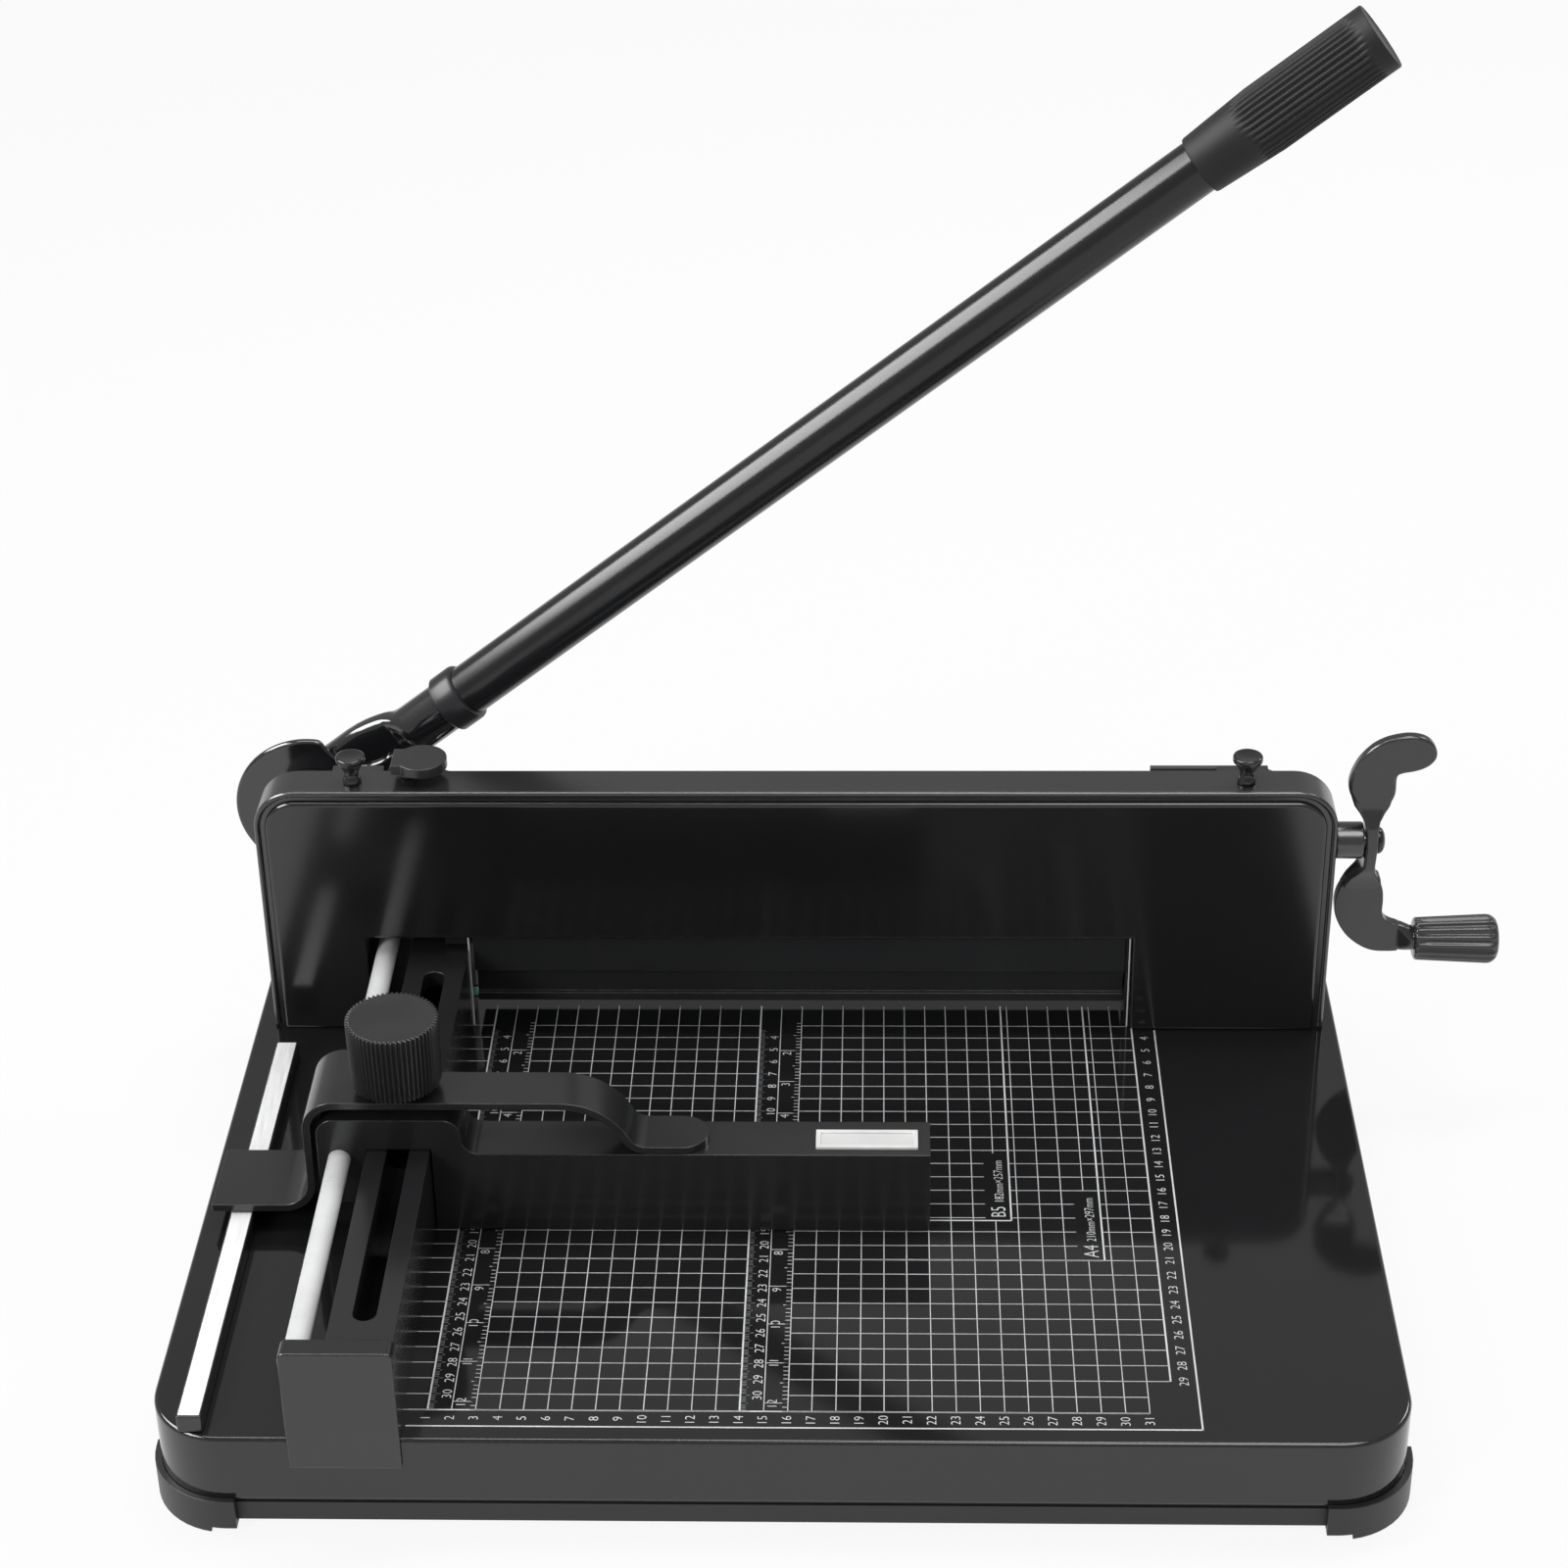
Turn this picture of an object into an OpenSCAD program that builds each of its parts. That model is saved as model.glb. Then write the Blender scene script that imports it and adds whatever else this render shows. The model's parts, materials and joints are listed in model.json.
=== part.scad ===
// Stack paper cutter: a lever blade behind a fixed cover, a crank clamp and a sliding back gauge.
// Millimetres and degrees. The origin lies on the ground below the middle of the base.
// x runs right, y runs away from the user and z runs up.

/* [Base] */
// width of the base
base_w = 526; // [500:1:600]
// depth of the base
base_d = 385; // [370:1:450]
// corner radius of the base
base_corner = 32; // [24:1:40]
// height of the tray
tray_h = 33.5; // [28:0.5:45]
// thickness of the tray's skirt
tray_wall = 4; // [3.5:0.5:6]
// thickness of the table plate
table_t = 9; // [8:0.5:14]
// height of the seam between tray and pan
seam_h = 2; // [1:0.5:4]
// how far the seam lies inside the base outline
seam_inset = 2.5; // [2:0.1:3]
// height of the pan
pan_h = 9.5; // [8:0.5:14]
// how far the pan's band lies inside the base outline
pan_inset = 1.5; // [1:0.1:2]
// distance from the base outline to the inside of the pan
pan_wall = 5.5; // [4.5:0.5:8]
// thickness of the pan's floor
pan_floor = 3; // [2:0.5:5]
// thickness of a foot under the pan
foot_floor = 4; // [3.5:0.5:6]
// height of a foot
foot_h = 17; // [16.5:0.5:20]
// length of a foot along each side of the base
foot_reach = 36; // [34:1:60]
// how far a foot stands out from the base
foot_lip = 3; // [2:0.5:5]
// length of the standing pad along each side
pad_reach = 25; // [22:1:32]
// height of the standing pad below the foot's arms
pad_h = 2.5; // [1.5:0.5:3]
// distance of the foot screws from the sides of the base
foot_screw_in = 16; // [14:1:20]
// diameter of the foot screws
foot_screw_d = 4; // [3:0.5:5]
// head diameter of the foot screws
foot_head_d = 8; // [7:0.5:10]

/* [Table] */
// distance from the base's left edge to the side guide
left_margin = 106.6; // [104:0.2:112]
// distance from the cut line to the base's rear edge
rear_reach = 56; // [54:1:80]
// width of the cutting stick
stick_w = 8; // [6:0.5:12]
// height of the cutting stick
stick_h = 6; // [4:0.5:7]
// gap beside the cutting stick
stick_gap = 0.1; // [0.05:0.05:0.3]
// distance from the base's left edge to the scale bar
scale_margin = 14.6; // [10:0.2:18]
// distance from the base's front edge to the scale bar
scale_front = 4; // [2:0.5:10]
// width of the scale bar
scale_w = 10.5; // [8:0.5:14]
// height of the scale bar
scale_h = 8.5; // [6:0.5:9]
// length of the scale bar
scale_len = 268; // [200:1:285]
// thickness of the tape on the scale bar
tape_t = 0.5; // [0.3:0.1:1]
// edge of the scale bar left bare round the tape
tape_edge = 0.8; // [0.5:0.1:2]

/* [Side guide] */
// width of the slotted rail
rail_w = 28; // [26:0.5:32]
// height of the slotted rail
rail_h = 44; // [42:0.5:46]
// width of the hollow inside the rail
rail_hollow = 18; // [17:0.5:20]
// thickness of the rail's top
rail_top = 8; // [6:0.5:10]
// width of the slot in the rail's top
rail_slot = 10; // [9:0.5:12]
// distance from the rail's front end to the slot
slot_front = 15; // [10:1:16]
// distance from the rail's rear end to the slot
slot_rear = 38; // [20:1:44]
// diameter of the guide rod
rod_d = 10; // [8:0.5:12]
// clear distance between rod and rail
rod_gap = 7.5; // [6.5:0.5:8]
// height of the rod's axis above the table
rod_z = 39; // [30:0.5:40]
// depth of the rod's sockets
socket = 6; // [4:0.5:7]
// width of the front bracket
bracket_w = 47; // [47:0.5:55]
// length of the front bracket
bracket_t = 10; // [9:0.5:14]
// height of the front bracket above the rail
bracket_rise = 3; // [1:0.5:5]
// thickness of the bracket's skirt in front of the base
skirt_t = 2; // [1.5:0.5:4]
// height of the bracket's skirt below the table
skirt_drop = 14; // [8:1:22]
// corner radius of the bracket
bracket_r = 3; // [1:0.5:5]

/* [Housing] */
// distance from the base's left edge to the cover
housing_left = 9.4; // [6:0.2:12]
// distance from the base's right edge to the cover
housing_right = 7; // [5:0.2:10]
// height of the cover
housing_h = 133; // [130:0.5:145]
// depth of the cover
housing_depth = 19.5; // [19.5:0.5:24]
// radius of the cover's upper corners
housing_corner = 20; // [15:1:32]
// thickness of the cover's top and sides
housing_skin = 3; // [2:0.5:4]
// thickness of the cover's front wall
housing_wall = 2.5; // [2:0.1:2.7]
// thickness of the front panel
panel_t = 2.5; // [1.5:0.5:4]
// distance from the cover's edge to the front panel
panel_inset = 5; // [3:0.5:8]
// how far the throat reaches left of the side guide
throat_left = 48; // [47:0.5:52]
// width of the throat right of the side guide
throat_w = 318; // [317.5:0.5:319]
// height of the throat
throat_h = 52; // [52:0.5:53]
// distance of the left thumb screw from the cover's left side
thumb_left = 47; // [36:1:56]
// distance of the right thumb screw from the cover's right side
thumb_right = 43; // [34:1:60]
// distance of the thumb screws from the cover's front
thumb_in = 9; // [8:0.5:10]
// shank diameter of the thumb screws
thumb_d = 5; // [4:0.5:6]
// flange diameter of the thumb screws
thumb_flange_d = 8.6; // [8:0.2:12]
// neck diameter of the thumb screws
thumb_neck_d = 6.4; // [5.5:0.2:8]
// head diameter of the thumb screws
thumb_head_d = 14; // [12:0.5:16]
// height of the thumb screws above the cover
thumb_h = 14.5; // [12:0.5:18]
// thickness of the tabs under the cover's top
tab_t = 6; // [3:0.5:6]
// width of the tabs
tab_w = 24; // [16:1:30]
// distance of the lock knob's shaft from the cover's left side
lock_left = 73.2; // [72:0.2:76]
// distance of the lock knob's shaft from the cover's front
lock_in = 15; // [14:0.5:15.5]
// radius of the lock knob's round end
lock_r = 12; // [10:0.5:13]
// distance from the lock knob's shaft to the middle of its round end
lock_reach = 6.3; // [5:0.1:7]
// distance from the lock knob's shaft to its straight side
lock_side = 7.5; // [7:0.1:8.5]
// length of the lock knob's straight side
lock_side_w = 16.4; // [14:0.2:18]
// thickness of the lock knob
lock_t = 5; // [4:0.5:8]
// height of the boss below the lock knob
lock_boss_h = 5; // [4:0.5:8]
// diameter of the boss
lock_boss_d = 8; // [7.5:0.5:9]
// shaft diameter of the lock knob
lock_shaft_d = 6; // [5:0.5:7]
// radius of the lock's cam
cam_r = 6; // [5:0.5:6.5]
// thickness of the lock's cam
cam_t = 4; // [3:0.5:4]

/* [Frame] */
// thickness of the frame plate
frame_t = 10; // [8:0.5:14]
// height of the frame plate
frame_h = 124; // [122:0.5:126]
// gap between the frame plate and the cut line
blade_gap = 1; // [0.6:0.1:2]
// extra width of the frame's opening at each side
portal_side = 1.5; // [1:0.5:2]
// height of the frame's opening
portal_h = 54; // [53:0.5:54.5]
// gap between flat faces that slide on each other
slide_gap = 0.3; // [0.2:0.05:0.5]
// gap round a turning or fitted shaft
fit = 0.05; // [0.02:0.01:0.08]

/* [Clamp] */
// height of the clamp above the table at rest
clamp_rest = 9.6; // [9.6:0.1:12]
// distance from the side guide to the clamp
clamp_left = 2; // [1.5:0.5:4]
// length of the clamp
clamp_len = 314; // [300:1:314]
// height of the clamp's beam and foot
clamp_h = 46.4; // [40:0.2:46.8]
// height of the clamp's foot
clamp_foot_h = 10.4; // [8:0.2:10.6]
// thickness of the clamp's beam
clamp_beam_t = 10; // [6:0.5:10.5]
// height of the clamp's front lip
clamp_lip_h = 4.6; // [3:0.2:6]
// how far the lip stands out from the foot
clamp_lip = 2; // [1:0.5:3]
// how far the foot lies behind the beam's front face
clamp_set = 7.5; // [5:0.5:7.5]
// gap between the clamp's foot and the blade
clamp_blade_gap = 1.5; // [1:0.1:3]
// drop of the clamp below its rest
clamp_down = 9; // [6:0.5:9]
// lift of the clamp above its rest
clamp_up = 31.5; // [27:0.5:31.5]
// distance of the first clamp pin from the clamp's left end
pin_left = 41; // [40:1:46]
// distance between the clamp pins
pin_pitch = 120; // [100:1:120]
// height of the clamp pins above the table at rest
pin_z = 73; // [72.5:0.1:73.5]
// diameter of the clamp pins
pin_d = 8; // [6:0.5:8]
// head diameter of the clamp pins
pin_head_d = 12; // [10:0.5:14]
// head height of the clamp pins
pin_head_h = 2.5; // [1.5:0.5:3]
// gap round the pins in the wedge bar's slots
pin_gap = 0.35; // [0.3:0.05:0.5]
// width of the clamp's ears
ear_w = 26; // [20:1:30]
// thickness of the clamp's ears
ear_t = 5; // [4:0.5:6]
// thickness of the wedge bar
wedge_t = 4.6; // [4:0.1:4.8]
// wall left beyond the wedge bar's slots
wedge_wall = 5; // [4:0.5:5]
// thickness of the strips that guide the wedge bar
strip_t = 1.8; // [1.5:0.1:2]
// length of the upper strip
strip_len = 190; // [150:1:200]
// diameter of the clamp shaft
shaft_d = 9; // [8:0.5:9.5]
// distance of the clamp shaft in front of the cut line
shaft_in = 22; // [21.8:0.1:22.2]
// height of the clamp shaft
shaft_z = 101.6; // [101:0.2:102.4]
// distance from the side guide to the nut
nut_left = 256; // [252:1:262]
// length of the nut
nut_len = 30; // [20:1:30]
// height of the nut
nut_h = 19; // [14:0.5:19]
// distance from the side guide to the left bearing
bearing_left = 205; // [200:1:208]
// length of the bearings
bearing_len = 10; // [8:0.5:12]
// distance from the right bearing to the cover's right side
bearing_right = 14; // [10:0.5:24]
// thickness of the clamp's end guides
guide_t = 13; // [8:0.5:13]

/* [Crank] */
// diameter of the bush at the cover's side
bush_d = 17.6; // [16:0.2:20]
// length of the bush
bush_len = 13; // [8:0.5:16]
// gap between bush and crank
crank_gap = 0.6; // [0.3:0.1:1]
// thickness of the crank's hub strip
hub_strip_t = 6; // [4:0.5:8]
// width of the crank's hub strip
hub_strip_w = 18; // [16:0.5:24]
// half height of the crank's hub strip
hub_strip_r = 22; // [18:0.5:26]
// thickness of the crank's lobes
lobe_t = 6; // [4:0.5:9]
// radius of the lobes
lobe_r = 25.5; // [22:0.5:28]
// distance from the shaft to the lobes' middle
lobe_reach = 33.5; // [30:0.5:36]
// distance from the shaft to the crank's grip
crank_reach = 55.4; // [50:0.2:60]
// radius of the upper lobe's tab
tab_r = 10.8; // [8:0.2:12]
// diameter of the boss for the grip's spindle
grip_boss_d = 12; // [11:0.5:15]
// length of the crank's grip
crank_grip_len = 40; // [34:0.5:55]
// diameter of the crank's grip at the crank
crank_grip_d1 = 20.5; // [19:0.5:24]
// diameter of the crank's grip at its end
crank_grip_d2 = 23.5; // [22:0.5:28]
// diameter of the grip's spindle
spindle_d = 8; // [6:0.5:10]
// head diameter of the crank screw
crank_screw_d = 13; // [11:0.5:16]
// head height of the crank screw
crank_screw_h = 4; // [3:0.5:6]

/* [Cutting head] */
// distance from the side guide to the lever's pivot
pivot_left = 80.3; // [79:0.1:81]
// height of the lever's pivot
pivot_z = 89.1; // [88:0.1:90]
// diameter of the pivot shaft
pivot_d = 20; // [16:0.5:22]
// diameter of the pivot's threaded end
pivot_end_d = 14; // [10:0.5:15]
// diameter of the pivot block
pivot_block_d = 34; // [30:0.5:36]
// width of the pivot nut across its flats
pivot_nut_w = 28; // [24:0.5:32]
// height of the pivot nut
pivot_nut_h = 8; // [6:0.5:9]
// angle of the lever above the table at rest
lever_rest = 37.8; // [34:0.1:42]
// swing of the lever
lever_swing = 37; // [33:0.5:37]
// angle of the drive arm above the table at rest
drive_rest = 5; // [4:0.5:6]
// radius of the disc on the lever's hub
hub_r = 37.5; // [34:0.5:38.5]
// thickness of the lever's hub
hub_t = 18; // [14:0.5:18]
// radius of the hub's boss
boss_r = 22; // [20:0.5:24]
// distance of the disc behind the boss's front face
disc_in = 2; // [1.5:0.5:3]
// thickness of the disc and of the web on the drive arm
disc_t = 4; // [3:0.5:5]
// radius of the scoop between the disc and the neck
scoop_r = 20; // [18:0.5:22]
// distance along the drive arm from the pivot to the scoop's middle
scoop_at = 29.7; // [28:0.1:32]
// distance of the scoop's middle above the drive arm's middle line
scoop_up = 41.2; // [40:0.1:43]
// height of the neck's upper edge above the lever's middle line
neck_up = 18.3; // [17:0.1:20]
// distance along the lever at which the neck's upper edge bends down
neck_bend_at = 36; // [33:0.5:38]
// bend radius of the neck's upper edge
neck_bend_r = 62; // [56:1:70]
// distance along the lever at which the neck is fully round
neck_round_at = 66; // [62:0.5:70]
// length of the rounded start of the neck's round part
neck_nose = 7; // [5:0.5:10]
// distance from the pivot to the tube's collar
collar_at = 88; // [84:0.5:96]
// length of the collar
collar_len = 13; // [10:0.5:18]
// diameter of the collar
collar_d = 29.5; // [28:0.5:30]
// diameter of the lever's tube
tube_d = 25; // [22:0.5:25]
// wall of the lever's tube
tube_wall = 2; // [1.5:0.1:3]
// distance from the pivot to the lever's grip
grip_at = 530; // [480:1:560]
// length of the lever's grip
grip_len = 95; // [80:1:130]
// diameter of the lever's grip at its start
grip_d1 = 28; // [27:0.5:30]
// largest diameter of the lever's grip
grip_d2 = 32; // [28:0.5:34]
// thickness of the drive arm
drive_t = 10; // [8:0.5:10]
// radius of the drive arm's end
drive_end_r = 9.5; // [9:0.5:11]
// diameter of the drive pin
drive_pin_d = 10; // [8:0.5:11]
// diameter of the roller on the drive pin
roller_d = 18; // [16:0.5:18]
// gap round the roller in its slot
roller_gap = 0.35; // [0.3:0.05:0.5]
// gap between the guide caps and the lever's tube
lever_gap = 1.2; // [0.8:0.1:2]
// height of the blade's edge above the table at rest
blade_rest = 47; // [46.6:0.1:47.2]
// height of the blade's edge above the table at the end of the cut
blade_end = 0.3; // [0.3:0.1:0.6]
// sideways run of the blade during the cut
blade_run = 20; // [16:0.5:20]
// how far the blade reaches left of the side guide at rest
blade_left = 10; // [6:0.5:12]
// height of the blade
blade_h = 46; // [40:0.5:48]
// thickness of the blade
blade_t = 4; // [3:0.5:4.5]
// height of the blade's bevel
bevel_h = 12; // [8:0.5:16]
// width of the blade's edge land
edge_t = 0.4; // [0.2:0.1:0.8]
// radius of the blade's upper corners
blade_r = 12; // [4:1:16]
// height of the blade bolts above the blade's edge
bolt_z = 32; // [30:0.5:36]
// distance from the blade's left end to the first bolt
bolt_left = 46; // [44:1:50]
// distance from the last bolt to the blade's right end
bolt_right = 32; // [30:1:40]
// distance between the blade bolts
bolt_pitch = 45; // [43:1:50]
// number of blade bolts
bolt_count = 7; // [7:1:8]
// diameter of the blade bolts
bolt_d = 8; // [6:0.5:8]
// head diameter of the blade bolts
bolt_head_d = 12; // [10:0.5:13]
// head height of the blade bolts
bolt_head_h = 3; // [2:0.5:3]
// thickness of the blade carrier
carrier_t = 14; // [12:0.5:14]
// height of the carrier's lower edge above the blade's edge
carrier_lift = 16; // [14:0.5:17]
// height of the carrier
carrier_h = 51; // [50:0.5:52]
// how far the carrier reaches left of the side guide, at its lower edge
carrier_left = 47; // [46:0.5:48]
// gap between the blade's right end and the carrier's slanted end, at the blade's edge
end_gap = 1; // [0.6:0.1:2]
// width of the guide rails
gib_w = 14; // [12:0.5:14]
// height of the guide rails above the table
gib_z = 2; // [1:0.5:4]
// length of the guide rails in height
gib_h = 110; // [108:0.5:112]
// how far the guide caps stand above the guide rails
cap_rise = 5; // [1:0.5:6]
// thickness of the guide caps
cap_t = 3; // [2.5:0.1:3.5]
// how far the guide caps reach over the carrier
cap_lap = 6; // [4:0.5:7]
// how far the right guide cap reaches past the blade's right end
cap_past = 66; // [60:1:68]
// how far the right guide cap reaches over the blade's right end
cap_over = 10; // [6:1:12]
// corner radius of the right guide cap
cap_r = 30; // [20:1:32]
// diameter of the cap screws
cap_screw_d = 4; // [3:0.5:5]
// head diameter of the cap screws
cap_head_d = 7; // [6:0.5:8]
// head height of the cap screws
cap_head_h = 2; // [1.5:0.1:2.2]
// length of the cap screws
cap_screw_len = 14; // [10:0.5:16]

/* [Back gauge] */
// distance from the cut line to the gauge at rest
gauge_at = 165; // [160:1:175]
// depth of the gauge bar
gauge_d = 25; // [24:0.5:30]
// length of the gauge bar right of the side guide
gauge_len = 220.5; // [200:0.5:240]
// height of the gauge bar
gauge_h = 42; // [36:0.5:43]
// gap between the gauge bar and the table
gauge_gap = 0.6; // [0.4:0.1:1]
// height of the gauge's hump
hump_h = 60; // [58:0.5:62]
// how far the hump reaches left of the side guide
hump_left = 50; // [49:0.5:52]
// how far the hump reaches right of the side guide
hump_right = 14; // [12:0.5:20]
// corner radius of the hump
hump_r = 8; // [5:0.5:8]
// height of the gauge's left leg above the table
leg_z = 15; // [11:0.5:18]
// gap between the gauge bar and the rail
saddle_gap = 0.5; // [0.4:0.1:1]
// thickness of the strap
strap_t = 3.5; // [3:0.1:4]
// width of the strap
strap_w = 24; // [20:0.5:24]
// height of the strap's top face
strap_top = 69; // [68:0.5:74]
// gap between the strap's riser and the gauge bar
riser_gap = 2.5; // [2:0.5:5]
// outer radius of the strap's upper bend
bend_r = 15; // [8:0.5:16]
// inner radius of the strap's lower bend
foot_bend_r = 12; // [6:0.5:14]
// distance from the side guide to the end of the strap's flat top
strap_flat = 58; // [50:0.5:64]
// radius of the strap's upper falling bend at mid thickness
fall_r = 32; // [28:0.5:34]
// radius of the strap's lower falling bend at mid thickness
land_r = 10; // [8:0.5:12]
// length of the strap's tongue
tongue_len = 27; // [24:0.5:32]
// left end of the strap's foot, from the side guide
strap_foot_left = 100; // [98:0.5:103]
// depth of the strap's foot, riser and left end
strap_foot_d = 41; // [30:0.5:44]
// half length of the strap's change of width, hidden by the knob
strap_step = 11; // [8:0.5:14]
// gap between the strap's foot and the tape
strap_gap = 0.5; // [0.4:0.1:0.8]
// diameter of the gauge knob
knob_d = 41; // [34:0.5:42]
// height of the gauge knob
knob_h = 32; // [24:0.5:40]
// diameter of the knob's collar
knob_collar_d = 24; // [16:0.5:28]
// height of the knob's collar
knob_collar_h = 5; // [3:0.5:8]
// number of ribs round the gauge knob
knob_ribs = 72; // [40:1:90]
// depth of the ribs
rib_depth = 0.8; // [0.4:0.1:1.2]
// diameter of the clamp stud
stud_d = 8; // [6:0.5:8]
// head diameter of the clamp stud
stud_head_d = 16; // [14:0.5:16]
// head height of the clamp stud
stud_head_h = 5; // [4:0.5:8]
// gap between the stud's head and the rail's top
stud_gap = 0.4; // [0.3:0.1:0.8]
// depth of the stud in the knob
stud_depth = 20; // [10:1:24]
// distance of the label frame from the gauge's right end
label_in = 5.5; // [3:0.5:20]
// length of the label frame
label_w = 45; // [30:1:60]
// depth of the label frame
label_d = 13; // [8:0.5:18]
// distance of the label frame from the gauge's front
label_front = 4; // [2:0.5:8]
// height of the label frame
label_h = 1.6; // [1:0.1:3]
// width of the label frame's border
label_border = 2; // [1:0.5:3]
// thickness of the label pane
pane_t = 0.8; // [0.5:0.1:1]

/* [Hidden] */
$fn = 64;
eps = 1;

// table height and the zero point where the side guide meets the cut line
pan_z = foot_floor;
tray_z = pan_z + pan_h + seam_h;
table_z = tray_z + tray_h;
zero_x = left_margin - base_w / 2;
zero_y = base_d / 2 - rear_reach;
base_right = base_w - left_margin;
base_front = rear_reach - base_d;

// layers behind and in front of the cut line
frame_y1 = -blade_gap;
frame_y0 = frame_y1 - frame_t;
wrap_y1 = frame_y0;
wrap_y0 = wrap_y1 - housing_depth;
wall_y = wrap_y0 + housing_wall;
carrier_y1 = blade_t + carrier_t;
gib_y1 = carrier_y1 + slide_gap;
cap_y1 = gib_y1 + cap_t;
lever_y = cap_y1 + lever_gap + tube_d / 2;
hub_y0 = lever_y - hub_t / 2;
hub_y1 = lever_y + hub_t / 2;

// sides of the cover and the frame
wrap_x0 = housing_left - left_margin;
wrap_x1 = base_right - housing_right;
panel_corner = housing_corner - panel_inset;
frame_x0 = wrap_x0 + housing_skin;
frame_x1 = wrap_x1 - housing_skin;
portal_x0 = -portal_side;
portal_x1 = throat_w + portal_side;

// screws and lock on the cover
thumb_y = wrap_y0 + thumb_in;
thumb_x = [wrap_x0 + thumb_left, wrap_x1 - thumb_right];
lock_x = wrap_x0 + lock_left;
lock_y = wrap_y0 + lock_in;
cover_in_z = housing_h - housing_skin;

// side guide
rail_mid = -rail_w / 2;
rail_y0 = base_front - skirt_t + bracket_t;
rod_x = -rail_w - rod_gap - rod_d / 2;

// clamp drive
wedge_y1 = frame_y0 - slide_gap;
wedge_y0 = wedge_y1 - wedge_t;
clamp_y1 = wedge_y0 - slide_gap;
clamp_y0 = wall_y + slide_gap;
clamp_x1 = clamp_left + clamp_len;
pin_x = [clamp_left + pin_left, clamp_left + pin_left + pin_pitch];
slot_r = pin_d / 2 + pin_gap;
wedge_z0 = pin_z - clamp_down - slot_r - wedge_wall;
wedge_z1 = pin_z + clamp_up + slot_r + wedge_wall;
wedge_x0 = pin_x[0] - clamp_down - slot_r - wedge_wall;
wedge_x1 = nut_left + nut_len;
shaft_y = -shaft_in;
crank_x = wrap_x1 + bush_len + crank_gap;
crank_x1 = crank_x + hub_strip_t;
crank_mid = (crank_x + crank_x1) / 2;
grip_z = shaft_z - crank_reach;
grip_x = crank_mid + lobe_r - 1;

// blade and lever
blade_drop = blade_rest - blade_end;
lean = blade_run / blade_drop;
carrier_z0 = blade_rest + carrier_lift;
carrier_z1 = carrier_z0 + carrier_h;
drive_r = blade_drop / (sin(drive_rest) + sin(lever_swing - drive_rest));
drive_x = drive_r * cos(drive_rest) - pivot_left;
drive_z = pivot_z + drive_r * sin(drive_rest);
yoke_sag = drive_r * (sin(lever_swing / 2 - drive_rest) + (sin(drive_rest) - sin(lever_swing - drive_rest)) / 2);
yoke_runs = [for (t = [0 : 1 : lever_swing])
    drive_r * (cos(drive_rest - t) - cos(drive_rest)) + blade_run * t / lever_swing];
yoke_r = (roller_d + abs(yoke_sag)) / 2 + roller_gap;
blade_len = bolt_left + (bolt_count - 1) * bolt_pitch + bolt_right;
blade_x1 = blade_len - blade_left;
carrier_len = carrier_left + blade_x1 + end_gap + carrier_lift * lean;
cap_right = blade_x1 + cap_past;
cap_inner = blade_x1 - cap_over;
pivot_x = -pivot_left;

// back gauge
gauge_y0 = -gauge_at - gauge_d;
knob_y = -gauge_at - gauge_d / 2;
riser_x1 = -hump_left - riser_gap;
riser_x0 = riser_x1 - strap_t;
foot_z = scale_h + tape_t + strap_gap;
fall_drop = strap_top - strap_t - gauge_h;
fall_a = acos(1 - fall_drop / (fall_r + land_r));
fall_x = strap_flat + (fall_r + land_r) * sin(fall_a);
knob_z = strap_top + slide_gap;

// x of the slanted left and right ends of the carrier at a height
function left_end(z) = (z - carrier_z0) * lean - carrier_left;
function right_end(z) = left_end(z) + carrier_len;

// points on an arc
function arc(cx, cy, r, a0, a1, n = 16) =
    [for (i = [0 : n]) [cx + r * cos(a0 + (a1 - a0) * i / n), cy + r * sin(a0 + (a1 - a0) * i / n)]];

// moves to the zero point on the table
module at_zero() {
    translate([zero_x, zero_y, table_z])
        children();
}

// an outline drawn in x and z, solid from y0 to y1
module upright(y0, y1) {
    translate([0, y1, 0])
        rotate([90, 0, 0])
            linear_extrude(y1 - y0)
                children();
}

// an outline drawn in y and z, solid from x0 to x1
module along(x0, x1) {
    translate([x0, 0, 0])
        rotate([90, 0, 90])
            linear_extrude(x1 - x0)
                children();
}

// a box between two corners
module box(a, b) {
    translate(a)
        cube(b - a);
}

// a cylinder along x, y or z
module rod_along_x(d, x0, x1) {
    translate([x0, 0, 0])
        rotate([0, 90, 0])
            cylinder(d = d, h = x1 - x0);
}
module rod_along_y(d, y0, y1) {
    translate([0, y1, 0])
        rotate([90, 0, 0])
            cylinder(d = d, h = y1 - y0);
}
module rod_along_z(d, z0, z1) {
    translate([0, 0, z0])
        cylinder(d = d, h = z1 - z0);
}

// a rectangle with four round corners, about the origin
module round_rect(w, d, r) {
    square([w - 2 * r, d], center = true);
    square([w, d - 2 * r], center = true);
    for (sx = [-1, 1], sy = [-1, 1])
        translate([sx * (w / 2 - r), sy * (d / 2 - r)])
            circle(r);
}

// a slab of the base outline, set in by a distance
module base_slab(inset, z0, z1) {
    translate([0, 0, z0])
        linear_extrude(z1 - z0)
            round_rect(base_w - 2 * inset, base_d - 2 * inset, base_corner - inset);
}

// an upright outline with round upper corners
module gate(x0, x1, h, r) {
    translate([x0, 0])
        square([x1 - x0, h - r]);
    translate([x0 + r, 0])
        square([x1 - x0 - 2 * r, h]);
    for (x = [x0 + r, x1 - r])
        translate([x, h - r])
            circle(r);
}

// a straight slot between two points
module slot(a, b, r) {
    d = b - a;
    run = norm(d);
    translate(a)
        rotate(atan2(d[1], d[0])) {
            circle(r);
            translate([run, 0])
                circle(r);
            translate([0, -r])
                square([run, 2 * r]);
        }
}

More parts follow.
